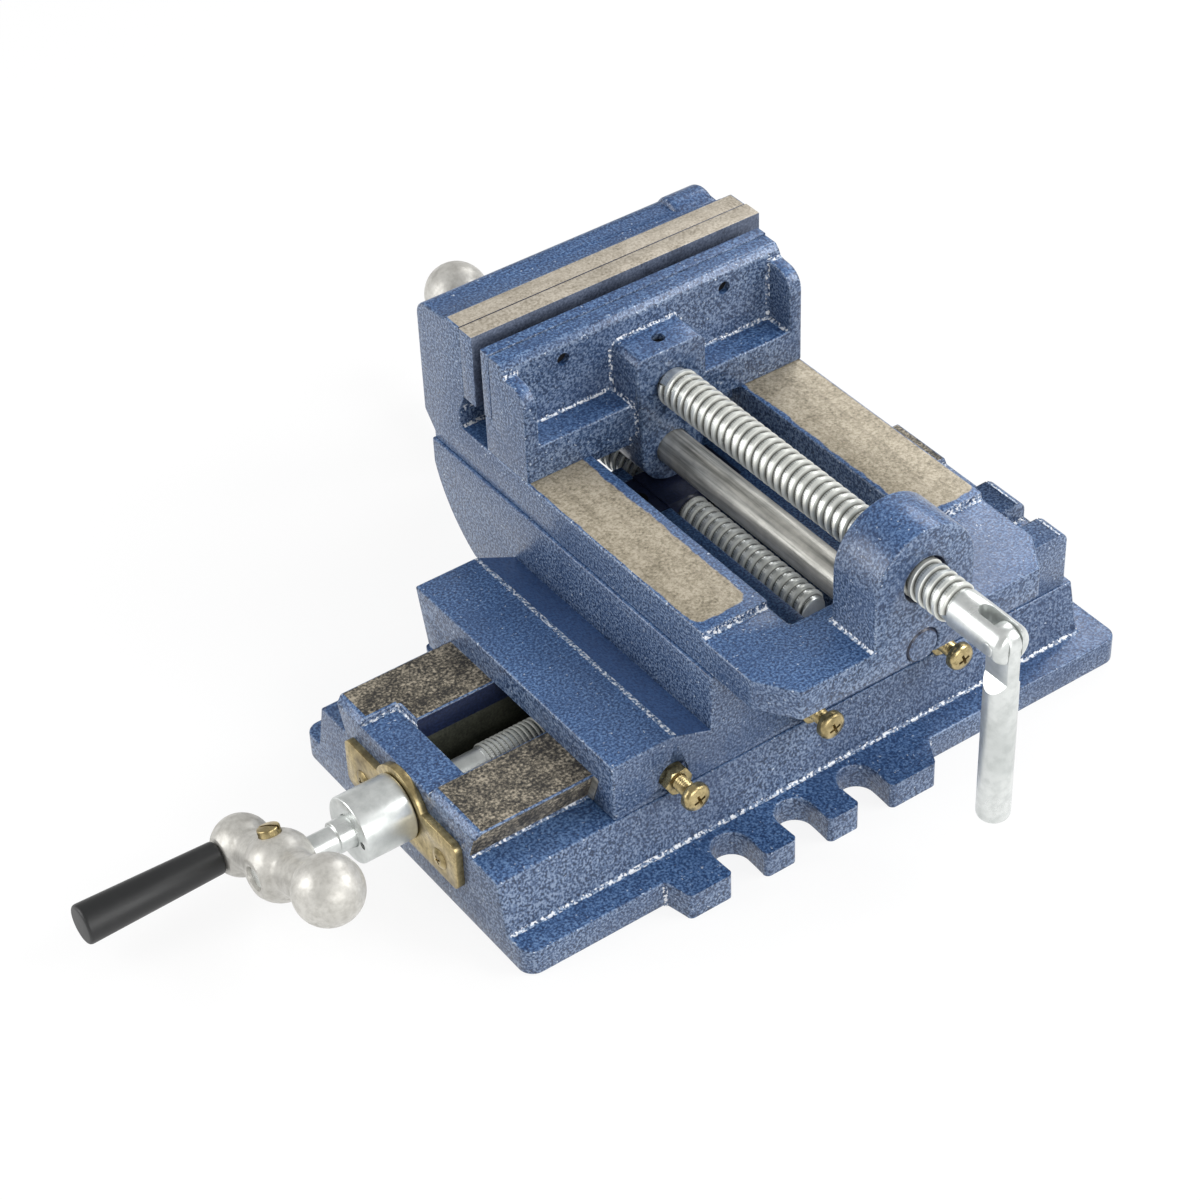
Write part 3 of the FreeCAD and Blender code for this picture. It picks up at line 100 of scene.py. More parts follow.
@dataclass(frozen=True)
class Noise:
    """A soft noise: features per metre, number of finer layers and their strength."""

    scale: float
    detail: float = 3.0
    roughness: float = 0.5


@dataclass(frozen=True)
class Span:
    """A range of values, and the range that it is moved to."""

    low: float
    high: float
    to_low: float = 0.0
    to_high: float = 1.0


@dataclass(frozen=True)
class Relief:
    """How strongly a relief shows, and how high it stands in metres."""

    strength: float
    height: float


class Paintbox:
    """A material's node tree, with short calls that add and join its nodes."""

    coat_roughness: float = 0.12

    def __init__(self, name: str) -> None:
        """Starts the material with an empty shader on Object coordinates.

        Args:
            name: The material's name.
        """
        self.material = bpy.data.materials.new(name)
        self.material.use_nodes = True
        self.tree = self.material.node_tree
        self.shader = self.tree.nodes["Principled BSDF"]
        places = self.tree.nodes.new("ShaderNodeTexCoord")
        self.place, self.facing = places.outputs["Object"], places.outputs["Normal"]

    def add(self, kind: str, **settings: object) -> bpy.types.Node:
        """Adds a node.

        Args:
            kind: The node's type.
            **settings: Its properties.

        Returns:
            The node.
        """
        made = self.tree.nodes.new(kind)
        for key, value in settings.items():
            setattr(made, key, value)
        return made

    def feed(self, target: Socket, value: object) -> None:
        """Joins a socket to an input, or writes a plain value into it.

        Args:
            target: The input.
            value: A socket, a number, a vector or a colour.
        """
        if isinstance(value, bpy.types.NodeSocket):
            self.tree.links.new(value, target)
        elif isinstance(value, tuple) and len(value) == 3 and target.type == "RGBA":
            target.default_value = (*value, 1.0)
        else:
            target.default_value = value

    def stretched(self, scale: Triple) -> Socket:
        """Object coordinates scaled along each axis.

        Args:
            scale: The amount along each axis.

        Returns:
            The coordinates.
        """
        node = self.add("ShaderNodeMapping")
        self.feed(node.inputs["Vector"], self.place)
        self.feed(node.inputs["Scale"], scale)
        return node.outputs["Vector"]

    def noise(self, noise: Noise, at: Optional[Socket] = None) -> Socket:
        """Soft noise.

        Args:
            noise: Its scale and layers.
            at: Coordinates, or None for Object coordinates.

        Returns:
            The noise's factor.
        """
        node = self.add("ShaderNodeTexNoise")
        self.feed(node.inputs["Vector"], at or self.place)
        node.inputs["Scale"].default_value = noise.scale
        node.inputs["Detail"].default_value = noise.detail
        node.inputs["Roughness"].default_value = noise.roughness
        return node.outputs["Fac"]

    def ramp(self, factor: Socket, stops: Sequence[float], colours: Sequence[Colour]) -> Socket:
        """Colours along a factor.

        Args:
            factor: The value looked up.
            stops: Where each colour is reached.
            colours: The colours.

        Returns:
            The colour.
        """
        node = self.add("ShaderNodeValToRGB")
        points = node.color_ramp.elements
        while len(points) < len(stops):
            points.new(0.5)
        for point, position, colour in zip(points, stops, colours):
            point.position = position
            point.color = (*colour, 1.0)
        self.feed(node.inputs["Fac"], factor)
        return node.outputs["Color"]

    def span(self, value: Socket, span: Span) -> Socket:
        """A value's range moved to another range, clamped.

        Args:
            value: The value.
            span: Both ranges.

        Returns:
            The moved value.
        """
        node = self.add("ShaderNodeMapRange")
        node.inputs["From Min"].default_value = span.low
        node.inputs["From Max"].default_value = span.high
        node.inputs["To Min"].default_value = span.to_low
        node.inputs["To Max"].default_value = span.to_high
        self.feed(node.inputs["Value"], value)
        return node.outputs["Result"]

    def math(self, operation: str, first: object, second: object) -> Socket:
        """Two values joined by an arithmetic step.

        Args:
            operation: The step's name.
            first: The first value.
            second: The second value.

        Returns:
            The result.
        """
        node = self.add("ShaderNodeMath", operation=operation)
        self.feed(node.inputs[0], first)
        self.feed(node.inputs[1], second)
        return node.outputs[0]

    def mix(self, factor: object, first: object, second: object) -> Socket:
        """Two colours mixed by a factor.

        Args:
            factor: Share of the second colour.
            first: The first colour.
            second: The second colour.

        Returns:
            The mixed colour.
        """
        node = self.add("ShaderNodeMix", data_type="RGBA")
        colours = [socket for socket in node.inputs if socket.type == "RGBA"]
        self.feed(node.inputs[0], factor)
        self.feed(colours[0], first)
        self.feed(colours[1], second)
        return next(socket for socket in node.outputs if socket.type == "RGBA")

    def vector(self, operation: str, first: object, second: object = (0.0, 0.0, 0.0),
               output: str = "Vector") -> Socket:
        """One step of vector arithmetic.

        Args:
            operation: The step's name.
            first: The first vector.
            second: The second vector.
            output: Name of the result that is wanted.

        Returns:
            The result.
        """
        node = self.add("ShaderNodeVectorMath", operation=operation)
        self.feed(node.inputs[0], first)
        self.feed(node.inputs[1], second)
        return node.outputs[output]

    def levelness(self, rise: Span) -> Socket:
        """How level a face lies.

        Args:
            rise: Sizes of the normal's rise that count as upright and as level.

        Returns:
            1 on level faces and 0 on upright ones.
        """
        node = self.add("ShaderNodeSeparateXYZ")
        self.feed(node.inputs[0], self.vector("ABSOLUTE", self.facing))
        return self.span(node.outputs["Z"], rise)

    def from_axis(self, place: Triple, along: Axis) -> Socket:
        """Distance from a line.

        Args:
            place: A place on the line.
            along: The line's direction.

        Returns:
            The distance in metres.
        """
        across = tuple(0.0 if part else 1.0 for part in along.value)
        away = self.vector("SUBTRACT", self.place, place)
        return self.vector("LENGTH", self.vector("MULTIPLY", away, across), output="Value")

    def from_plate(self, low: Point, high: Point, corner: float) -> Socket:
        """Distance outside a rounded rectangle seen from above, in metres.

        Args:
            low: X and Y of the rectangle's near corner.
            high: X and Y of its far corner.
            corner: Radius of its corners.

        Returns:
            The distance, negative inside.
        """
        centre = ((low[0] + high[0]) / 2, (low[1] + high[1]) / 2, 0.0)
        reach = ((high[0] - low[0]) / 2 - corner, (high[1] - low[1]) / 2 - corner, 1.0)
        away = self.vector("ABSOLUTE", self.vector("SUBTRACT", self.place, centre))
        outside = self.vector("MAXIMUM", self.vector("SUBTRACT", away, reach))
        return self.math("SUBTRACT", self.vector("LENGTH", outside, output="Value"), corner)

    def bump(self, height: Socket, relief: Relief, under: Optional[Socket] = None) -> Socket:
        """A surface relief.

        Args:
            height: The relief's height, 0 to 1.
            relief: Its strength and size.
            under: A relief that this one lies on.

        Returns:
            The bent normal.
        """
        node = self.add("ShaderNodeBump")
        node.inputs["Strength"].default_value = relief.strength
        node.inputs["Distance"].default_value = relief.height
        self.feed(node.inputs["Height"], height)
        if under is not None:
            self.feed(node.inputs["Normal"], under)
        return node.outputs["Normal"]

    def done(self, colour: object, roughness: object, metallic: object, normal: Socket,
             coat: float = 0.0) -> bpy.types.Material:
        """Sets the shader.

        Args:
            colour: Base colour.
            roughness: Roughness, 0 to 1.
            metallic: How metallic it is, 0 to 1.
            normal: The relief's normal.
            coat: Weight of a clear coat.

        Returns:
            The material.
        """
        self.feed(self.shader.inputs["Base Color"], colour)
        self.feed(self.shader.inputs["Roughness"], roughness)
        self.feed(self.shader.inputs["Metallic"], metallic)
        self.feed(self.shader.inputs["Normal"], normal)
        self.shader.inputs["Coat Weight"].default_value = coat
        self.shader.inputs["Coat Roughness"].default_value = self.coat_roughness
        return self.material


@dataclass(frozen=True)
class HammeredEnamel:
    """Blue hammered enamel: a fine speckle, paler on upright faces as painted reflection."""

    name: str
    deep: Colour = from_screen(30, 52, 88)
    middle: Colour = from_screen(55, 87, 133)
    pale: Colour = from_screen(98, 129, 170)
    # Painted reflection: upright faces take these paler, greyer tones instead of the level ones.
    upright_reflection_deep: Colour = from_screen(34, 48, 72)
    upright_reflection_middle: Colour = from_screen(66, 88, 122)
    upright_reflection_pale: Colour = from_screen(120, 136, 160)
    # Painted glints: the colour of the bright flecks.
    glint_fleck: Colour = from_screen(206, 216, 228)
    fleck_start: float = 0.70
    relief: float = 0.16 * MM
    speckle: Noise = Noise(1050.0, 3.0, 0.6)
    level_stops: Triple = (0.38, 0.50, 0.62)
    upright_stops: Triple = (0.40, 0.50, 0.60)
    rise: Span = Span(0.55, 0.92)
    patches: Noise = Noise(26.0, 4.0, 0.6)
    patch_depth: Span = Span(0.40, 0.72, 0.0, 0.5)
    flecks: Noise = Noise(760.0, 2.0)
    fleck_fade: float = 0.05
    fleck_strength: float = 0.7
    pebbles: Noise = Noise(735.0, 2.0)
    pebble_strength: float = 0.6
    waves: Noise = Noise(210.0, 2.0)
    wave_strength: float = 0.3
    wave_ratio: float = 2.2
    gloss: Noise = Noise(500.0, 2.0)
    gloss_span: Span = Span(0.3, 0.7, 0.30, 0.46)
    metallic: float = 0.08
    coat: float = 0.2

    def tone(self, box: Paintbox) -> Socket:
        """The enamel's colour: fine speckle under slow patches, with bright flecks as painted
        glints.

        Args:
            box: The material's nodes.

        Returns:
            The colour.
        """
        grain = box.noise(self.speckle)
        level = box.ramp(grain, self.level_stops, (self.pale, self.middle, self.deep))
        # Painted reflection: the upright faces' ramp is paler and greyer than the level one.
        upright = box.ramp(grain, self.upright_stops,
                           (self.upright_reflection_pale, self.upright_reflection_middle, self.upright_reflection_deep))
        tone = box.mix(box.levelness(self.rise), upright, level)
        tone = box.mix(box.span(box.noise(self.patches), self.patch_depth), tone, self.deep)
        # Painted glints: bright flecks mixed over the tone.
        flecked = Span(self.fleck_start, self.fleck_start + self.fleck_fade)
        specks = box.span(box.noise(self.flecks), flecked)
        return box.mix(box.math("MULTIPLY", specks, self.fleck_strength), tone, self.glint_fleck)

    def skin(self, box: Paintbox) -> Socket:
        """The enamel's relief: pebbles on low waves.

        Args:
            box: The material's nodes.

        Returns:
            The bent normal.
        """
        pebbled = box.bump(box.noise(self.pebbles), Relief(self.pebble_strength, self.relief))
        waved = Relief(self.wave_strength, self.relief * self.wave_ratio)
        return box.bump(box.noise(self.waves), waved, pebbled)

    def material(self) -> bpy.types.Material:
        """Builds the finish.

        Returns:
            The finished material.
        """
        box = Paintbox(self.name)
        roughness = box.span(box.noise(self.gloss), self.gloss_span)
        return box.done(self.tone(box), roughness, self.metallic, self.skin(box), self.coat)


@dataclass(frozen=True)
class MachinedIron:
    """Bare cut iron: fine grain, stains, dirt and faint cutter lines."""

    name: str
    light: Colour = from_screen(180, 170, 152)
    middle: Colour = from_screen(150, 141, 122)
    dark: Colour = from_screen(108, 100, 84)
    grain: Noise = Noise(1000.0, 3.0, 0.6)
    grain_share: float = 0.6
    stains: Noise = Noise(110.0, 6.0, 0.7)
    balance: float = 0.47
    contrast: float = 0.12
    cuts: Noise = Noise(1.0, 3.0, 0.6)
    lines: Triple = (420.0, 30.0, 200.0)
    line_depth: Span = Span(0.50, 0.72, 0.0, 0.4)
    pores: Noise = Noise(480.0, 4.0, 0.6)
    pore_relief: Relief = Relief(0.3, 0.08 * MM)
    gloss: Noise = Noise(60.0, 4.0, 0.6)
    roughness: float = 0.48
    smoother: float = 0.08
    rougher: float = 0.10
    metallic: float = 0.3

    def tone(self, box: Paintbox) -> Socket:
        """The iron's colour.

        Args:
            box: The material's nodes.

        Returns:
            The colour.
        """
        grain = box.math("MULTIPLY", box.noise(self.grain), self.grain_share)
        stain = box.math("MULTIPLY", box.noise(self.stains), 1.0 - self.grain_share)
        stops = (self.balance - self.contrast, self.balance, self.balance + self.contrast)
        tone = box.ramp(box.math("ADD", grain, stain), stops, (self.dark, self.middle, self.light))
        cut = box.noise(self.cuts, box.stretched(self.lines))
        return box.mix(box.span(cut, self.line_depth), tone, self.dark)

    def material(self) -> bpy.types.Material:
        """Builds the finish.

        Returns:
            The finished material.
        """
        box = Paintbox(self.name)
        rough = box.span(box.noise(self.gloss), Span(0.3, 0.7, self.roughness - self.smoother,
                                                     self.roughness + self.rougher))
        return box.done(self.tone(box), rough, self.metallic,
                        box.bump(box.noise(self.pores), self.pore_relief))


@dataclass(frozen=True)
class WornPlates:
    """Bare iron inside rounded rectangles, with enamel that reaches unevenly over their edges."""

    name: str
    iron: MachinedIron
    paint: HammeredEnamel
    plates: tuple[tuple[Point, Point], ...]
    corner: float = 5.0 * MM
    unevenness: float = 4.0 * MM
    wander: Noise = Noise(85.0, 4.0, 0.6)
    rim: Span = Span(-0.2 * MM, 0.4 * MM)
    paint_roughness: float = 0.34

    def material(self) -> bpy.types.Material:
        """Builds the finish.

        Returns:
            The finished material.
        """
        box = Paintbox(self.name)
        outside = None
        for low, high in self.plates:
            away = box.from_plate(low, high, self.corner)
            outside = away if outside is None else box.math("MINIMUM", outside, away)
        wander = box.math("SUBTRACT", box.noise(self.wander), 0.5)
        wander = box.math("MULTIPLY", wander, self.unevenness)
        painted = box.span(box.math("ADD", outside, wander), self.rim)
        tone = box.mix(painted, self.iron.tone(box), self.paint.tone(box))
        rough = box.span(painted, Span(0.0, 1.0, self.iron.roughness, self.paint_roughness))
        metallic = box.span(painted, Span(0.0, 1.0, self.iron.metallic, self.paint.metallic))
        return box.done(tone, rough, metallic, self.paint.skin(box))


@dataclass(frozen=True)
class PlatedSteel:
    """Plated or bare steel, slightly uneven, with streaks, or dirt and painted shade in thread
    roots.
    """

    name: str
    light: Colour
    dark: Colour
    roughness: float = 0.3
    grain: float = 240.0
    broad_ratio: float = 0.2
    relief: Relief = Relief(0.3, 0.02 * MM)
    metallic: float = 0.8
    stain: float = 0.4
    smoother: float = 0.05
    rougher: float = 0.08
    streaks: Optional[Triple] = None
    streak: Noise = Noise(1.0, 4.0, 0.65)
    streak_depth: Span = Span(0.42, 0.66, 0.0, 0.85)
    centre: Optional[Triple] = None
    along: Axis = Axis.TOWARDS_FIXED_JAW
    root: float = 0.0
    crest: float = 0.0
    # Dirt and painted shade in thread roots.
    dirt_and_shade: Colour = from_screen(58, 56, 50)
    dirt_and_shade_share: float = 0.9

    def material(self) -> bpy.types.Material:
        """Builds the finish.

        Returns:
            The finished material.
        """
        box = Paintbox(self.name)
        cloud = box.noise(Noise(self.grain, 4.0, 0.6))
        broad = box.noise(Noise(self.grain * self.broad_ratio))
        tone = box.mix(box.span(cloud, Span(0.4, 0.75, 0.0, self.stain)), self.light, self.dark)
        tone = box.mix(box.span(broad, Span(0.45, 0.75, 0.0, self.stain)), tone, self.dark)
        if self.streaks:
            long = box.noise(self.streak, box.stretched(self.streaks))
            tone = box.mix(box.span(long, self.streak_depth), tone, self.dark)
        # Dirt and painted shade, darker towards the thread's root.
        if self.centre:
            groove = Span(self.root + 0.1 * MM, self.crest - 0.2 * MM, self.dirt_and_shade_share, 0.0)
            depth = box.span(box.from_axis(self.centre, self.along), groove)
            tone = box.mix(depth, tone, self.dirt_and_shade)
        rough = box.span(broad, Span(0.3, 0.7, self.roughness - self.smoother,
                                     self.roughness + self.rougher))
        return box.done(tone, rough, self.metallic, box.bump(cloud, self.relief))


@dataclass(frozen=True)
class TumbledCasting:
    """Cast aluminium smoothed by tumbling: pale, mottled and satin."""

    name: str
    light: Colour = from_screen(198, 196, 190)
    dark: Colour = from_screen(142, 139, 132)
    skin: Noise = Noise(330.0, 4.0, 0.65)
    skin_tone: Span = Span(0.4, 0.72, 0.0, 0.6)
    skin_relief: Relief = Relief(0.5, 0.14 * MM)
    clouds: Noise = Noise(75.0)
    cloud_tone: Span = Span(0.45, 0.7, 0.0, 0.35)
    cloud_relief: Relief = Relief(0.3, 0.5 * MM)
    gloss_span: Span = Span(0.3, 0.7, 0.36, 0.52)
    metallic: float = 0.42

    def material(self) -> bpy.types.Material:
        """Builds the finish.

        Returns:
            The finished material.
        """
        box = Paintbox(self.name)
        skin, cloud = box.noise(self.skin), box.noise(self.clouds)
        tone = box.mix(box.span(skin, self.skin_tone), self.light, self.dark)
        tone = box.mix(box.span(cloud, self.cloud_tone), tone, self.dark)
        relief = box.bump(cloud, self.cloud_relief, box.bump(skin, self.skin_relief))
        return box.done(tone, box.span(skin, self.gloss_span), self.metallic, relief)


@dataclass(frozen=True)
class MouldedPlastic:
    """Black moulded plastic with a faint grain and scuffs."""

    name: str
    colour: Colour = from_screen(20, 21, 22)
    scuffed: Colour = from_screen(54, 55, 56)
    grain: Noise = Noise(900.0, 2.0)
    relief: Relief = Relief(0.25, 0.06 * MM)
    scuffs: Noise = Noise(60.0, 3.0, 0.6)
    scuff_tone: Span = Span(0.5, 0.8, 0.0, 0.3)
    gloss_span: Span = Span(0.3, 0.7, 0.38, 0.52)

    def material(self) -> bpy.types.Material:
        """Builds the finish.

        Returns:
            The finished material.
        """
        box = Paintbox(self.name)
        scuff = box.noise(self.scuffs)
        tone = box.mix(box.span(scuff, self.scuff_tone), self.colour, self.scuffed)
        relief = box.bump(box.noise(self.grain), self.relief)
        return box.done(tone, box.span(scuff, self.gloss_span), 0.0, relief)


@dataclass
class Finishes:
    """Every finish of the vise, made once."""

    enamel: bpy.types.Material = field(init=False)
    edge_highlight_enamel: bpy.types.Material = field(init=False)
    glint_enamel: bpy.types.Material = field(init=False)
    smooth_enamel: bpy.types.Material = field(init=False)
    painted_shade_enamel: bpy.types.Material = field(init=False)
    channel_shade_enamel: bpy.types.Material = field(init=False)
    raw_iron: bpy.types.Material = field(init=False)
    way_iron: bpy.types.Material = field(init=False)
    rail_iron: bpy.types.Material = field(init=False)
    base_iron: bpy.types.Material = field(init=False)
    zinc: bpy.types.Material = field(init=False)
    yellow_zinc: bpy.types.Material = field(init=False)
    aluminium: bpy.types.Material = field(init=False)
    plastic: bpy.types.Material = field(init=False)
    jaw_steel: bpy.types.Material = field(init=False)
    jaw_steel_oxide_and_shade: bpy.types.Material = field(init=False)
    rod_steel: bpy.types.Material = field(init=False)
    black_steel: bpy.types.Material = field(init=False)

    def __post_init__(self) -> None:
        """Makes the materials."""
        self.make_paints()
        self.make_irons()
        self.make_metals()

    def make_paints(self) -> None:
        """The enamel on faces, painted highlights on edges and inner corners, painted shade on
        slopes and hollows.
        """
        self.enamel = HammeredEnamel("hammered_enamel").material()
        # Painted highlight: the rounded outer edges get a paler enamel with more bright flecks.
        self.edge_highlight_enamel = HammeredEnamel(
            "hammered_enamel_edge", middle=from_screen(70, 100, 142),
            pale=from_screen(112, 138, 174), upright_reflection_middle=from_screen(84, 104, 134),
            fleck_start=0.66).material()
        # Painted highlight: inner corners, the wing's crest and the way steps get a pale enamel
        # with many white flecks.
        self.glint_enamel = HammeredEnamel(
            "hammered_enamel_glint", deep=from_screen(36, 58, 92), middle=from_screen(90, 118, 154),
            pale=from_screen(176, 192, 212), glint_fleck=from_screen(246, 248, 250),
            fleck_start=0.52).material()
        # Smooth enamel with little relief and few flecks; its level tones, lacking the pale
        # speckle, are painted shade on the saddle's slope.
        self.smooth_enamel = HammeredEnamel(
            "smooth_enamel", deep=from_screen(42, 68, 110), middle=from_screen(56, 88, 136),
            pale=from_screen(68, 102, 150), fleck_start=0.8, relief=0.05 * MM).material()
        # Painted shade: the channel's enamel is far darker than the rest.
        channel_shade = from_screen(26, 34, 58), from_screen(32, 42, 72), from_screen(40, 52, 86)
        self.channel_shade_enamel = HammeredEnamel("enamel_in_channel", *channel_shade, *channel_shade, fleck_start=0.9,
                                             relief=0.05 * MM).material()
        # Painted shade: a darker enamel for the screw hole's mouth, the jaw seam, the rod's ring
        # and the nuts.
        shade = from_screen(22, 26, 42), from_screen(28, 34, 56), from_screen(36, 44, 72)
        self.painted_shade_enamel = HammeredEnamel("enamel_in_shade", *shade, *shade,
                                         fleck_start=0.9).material()

    def make_irons(self) -> None:
        """The bare iron and steel of ways, rails, plates and the raw casting."""
        self.raw_iron = MachinedIron(
            "raw_casting", from_screen(84, 86, 74), from_screen(68, 70, 60),
            from_screen(50, 52, 44), roughness=0.6, metallic=0.1).material()
        left_way = (-41.9 * MM, -45.5 * MM), (-18.9 * MM, 78.5 * MM)
        right_way = (55.6 * MM, -47.0 * MM), (82.5 * MM, 78.5 * MM)
        self.way_iron = WornPlates(
            "machined_ways", MachinedIron("machined_iron"), HammeredEnamel("hammered_enamel"),
            (left_way, right_way)).material()
        self.rail_iron = MachinedIron("machined_rails", lines=(40.0, 260.0, 200.0)).material()
        self.base_iron = MachinedIron(
            "machined_base_ways", from_screen(172, 162, 144), from_screen(104, 98, 86),
            from_screen(44, 42, 40), grain=Noise(900.0, 3.0, 0.6), balance=0.52, contrast=0.09,
            lines=(30.0, 420.0, 200.0), roughness=0.55, metallic=0.2).material()
        across = (40.0, 260.0, 260.0)
        self.jaw_steel = MachinedIron(
            "ground_jaw_steel", from_screen(194, 186, 172), from_screen(170, 161, 146),
            from_screen(130, 122, 108), lines=across).material()
        # Oxide, with painted shade from the narrow gap between the jaws and a painted blue
        # reflection of the enamel.
        self.jaw_steel_oxide_and_shade = MachinedIron(
            "darkened_jaw_steel", from_screen(96, 106, 126), from_screen(70, 80, 100),
            from_screen(44, 50, 64), lines=across).material()

    def make_metals(self) -> None:
        """The plating of screws and plates, the cast cranks, the grips and the rod."""
        self.zinc = PlatedSteel("bright_zinc", from_screen(220, 223, 221),
                                from_screen(168, 173, 171), stain=0.55).material()
        self.yellow_zinc = PlatedSteel(
            "yellow_zinc", from_screen(192, 174, 128), from_screen(76, 62, 36), roughness=0.28,
            grain=420.0, metallic=0.9, stain=0.7).material()
        self.aluminium = TumbledCasting("tumbled_aluminium").material()
        self.plastic = MouldedPlastic("black_plastic").material()
        self.rod_steel = PlatedSteel(
            "polished_rod", from_screen(200, 198, 190), from_screen(92, 94, 92), roughness=0.34,
            grain=160.0, metallic=0.55, streaks=(420.0, 16.0, 420.0)).material()
        self.black_steel = PlatedSteel(
            "blackened_screw", from_screen(52, 50, 50), from_screen(24, 24, 24), roughness=0.4,
            grain=300.0).material()

    def threaded(self, name: str, centre: Triple, along: Axis, root: float, crest: float,
                 dirt_and_shade: Colour, metallic: float) -> bpy.types.Material:
        """Zinc with dirt and painted shade in the roots between the crests of a thread.

        Args:
            name: The material's name.
            centre: A place on the screw's axis.
            along: The screw's direction.
            root: Radius of the thread's root.
            crest: Radius of its crest.
            dirt_and_shade: Colour of the dirt and painted shade in the roots.
            metallic: How metallic the plating is.

        Returns:
            The material.
        """
        return PlatedSteel(name, from_screen(226, 228, 222), from_screen(184, 186, 180),
                           metallic=metallic, centre=centre, along=along, root=root, crest=crest,
                           dirt_and_shade=dirt_and_shade).material()


# Meshes

def linked(name: str, data: bpy.types.ID) -> bpy.types.Object:
    """Makes an object and puts it into the scene.

    Args:
        name: The object's name.
        data: Its mesh, lamp or camera.

    Returns:
        The object.
    """
    made = bpy.data.objects.new(name, data)
    bpy.context.scene.collection.objects.link(made)
    return made


def as_mesh(shape: bmesh.types.BMesh, name: str) -> bpy.types.Mesh:
    """Turns a shape under construction into a mesh and frees it.

    Args:
        shape: The shape.
        name: The mesh's name.

    Returns:
        The mesh.
    """
    mesh = bpy.data.meshes.new(name)
    shape.to_mesh(mesh)
    shape.free()
    return mesh


def softened(outline: Sequence[Point], radius: float, steps: int = 3) -> list[Point]:
    """Rounds the corners of an open outline.

    Args:
        outline: Points of the outline.
        radius: Largest distance cut back along each side of a corner.
        steps: Number of chords that replace a corner.

    Returns:
        The outline with a short curve at each inner corner.
    """
    made = [outline[0]]
    for before, here, after in zip(outline, outline[1:], outline[2:]):
        a, b, c = Vector(before), Vector(here), Vector(after)
        reach = min(radius, (a - b).length * SIDE_SHARE, (c - b).length * SIDE_SHARE)
        start = b + (a - b).normalized() * reach
        end = b + (c - b).normalized() * reach
        for step in range(steps + 1):
            t = step / steps
            made.append(tuple(start * (1 - t) ** 2 + b * (2 * t * (1 - t)) + end * t ** 2))
    made.append(outline[-1])
    return made


def lathed(outline: Sequence[Point], segments: int = 72) -> bpy.types.Mesh:
    """Turns an outline about the X axis.

    Args:
        outline: Points of distance along X and radius; a radius of 0 closes an end.
        segments: Number of steps round the axis.

    Returns:
        A closed mesh whose faces point outwards.
    """
    shape = bmesh.new()
    rings = []
    for x, radius in outline:
        if radius < ON_AXIS:
            rings.append([shape.verts.new((x, 0, 0))])
            continue
        ring = []
        for step in range(segments):
            angle = math.tau * step / segments
            ring.append(shape.verts.new((x, radius * math.cos(angle), radius * math.sin(angle))))
        rings.append(ring)
    for low, high in zip(rings, rings[1:]):
        if len(low) == 1 and len(high) == 1:
            continue
        for step in range(segments):
            after = (step + 1) % segments
            if len(low) == 1:
                shape.faces.new((low[0], high[step], high[after]))
            elif len(high) == 1:
                shape.faces.new((low[step], high[0], low[after]))
            else:
                shape.faces.new((low[step], high[step], high[after], low[after]))
    bmesh.ops.recalc_face_normals(shape, faces=shape.faces)
    return as_mesh(shape, "turned")


def rod_between(start: float, end: float, radius: float, segments: int) -> bpy.types.Mesh:
    """A plain round rod along the X axis."""
    return lathed([(start, 0), (start, radius), (end, radius), (end, 0)], segments)


def boxed(low: Sequence[float], high: Sequence[float]) -> bpy.types.Mesh:
    """A box, used as a cutter.

    Args:
        low: Its lowest corner.
        high: Its highest corner.

    Returns:
        A closed mesh.
    """
    shape = bmesh.new()
    bmesh.ops.create_cube(shape, size=1.0)
    for vert in shape.verts:
        spans = zip(vert.co, low, high)
        vert.co = Vector(start + (share + 0.5) * (end - start) for share, start, end in spans)
    return as_mesh(shape, "box")


def cross_recess(across: float, depth: float, face: float) -> list[bpy.types.Mesh]:
    """Cutters of a cross recess in a head whose face looks along +X.

    Args:
        across: Width of the cross.
        depth: How deep it goes.
        face: Where the face lies along X.

    Returns:
        One tapered cutter for each bar of the cross.
    """
    narrow = across / 9
    cutters = []
    for first, second in ((across / 2, narrow), (narrow, across / 2)):
        shape = bmesh.new()
        bmesh.ops.create_cube(shape, size=2.0)
        for vert in shape.verts:
            outer = vert.co.x > 0
            taper = 1.0 if outer else RECESS_TAPER
            x = face + depth if outer else face - depth
            vert.co = Vector((x, vert.co.y * first * taper, vert.co.z * second * taper))
        cutters.append(as_mesh(shape, "recess"))
    return cutters


def turned(mesh: bpy.types.Mesh, axis: str, angle: float) -> bpy.types.Mesh:
    """Turns a mesh about a main axis by an angle in degrees, and returns it."""
    mesh.transform(Matrix.Rotation(math.radians(angle), 4, axis))
    return mesh


def laid(mesh: bpy.types.Mesh, origin: Sequence[float],
         axis: Axis = Axis.TOWARDS_FAR_END) -> bpy.types.Mesh:
    """Lays a mesh made along its own X axis into the frame.

    Args:
        mesh: The mesh, changed in place.
        origin: Where its own origin goes, in metres.
        axis: The direction of its own X axis.

    Returns:
        The same mesh.
    """
    target = Vector(axis.value)
    up = Vector((-1, 0, 0)) if axis is Axis.UP else Vector((0, 0, 1))
    matrix = Matrix((target, up.cross(target), up)).transposed().to_4x4()
    mesh.transform(Matrix.Translation(Vector(origin)) @ matrix)
    return mesh


def merged(meshes: Iterable[bpy.types.Mesh]) -> bpy.types.Mesh:
    """Puts several meshes into one, each left closed in itself.

    Args:
        meshes: The meshes.

    Returns:
        A new mesh.
    """
    shape = bmesh.new()
    for mesh in meshes:
        shape.from_mesh(mesh)
    return as_mesh(shape, "merged")


def with_material(mesh: bpy.types.Mesh, index: int) -> bpy.types.Mesh:
    """Gives all faces of a mesh one material index, and returns it."""
    mesh.polygons.foreach_set("material_index", [index] * len(mesh.polygons))
    return mesh


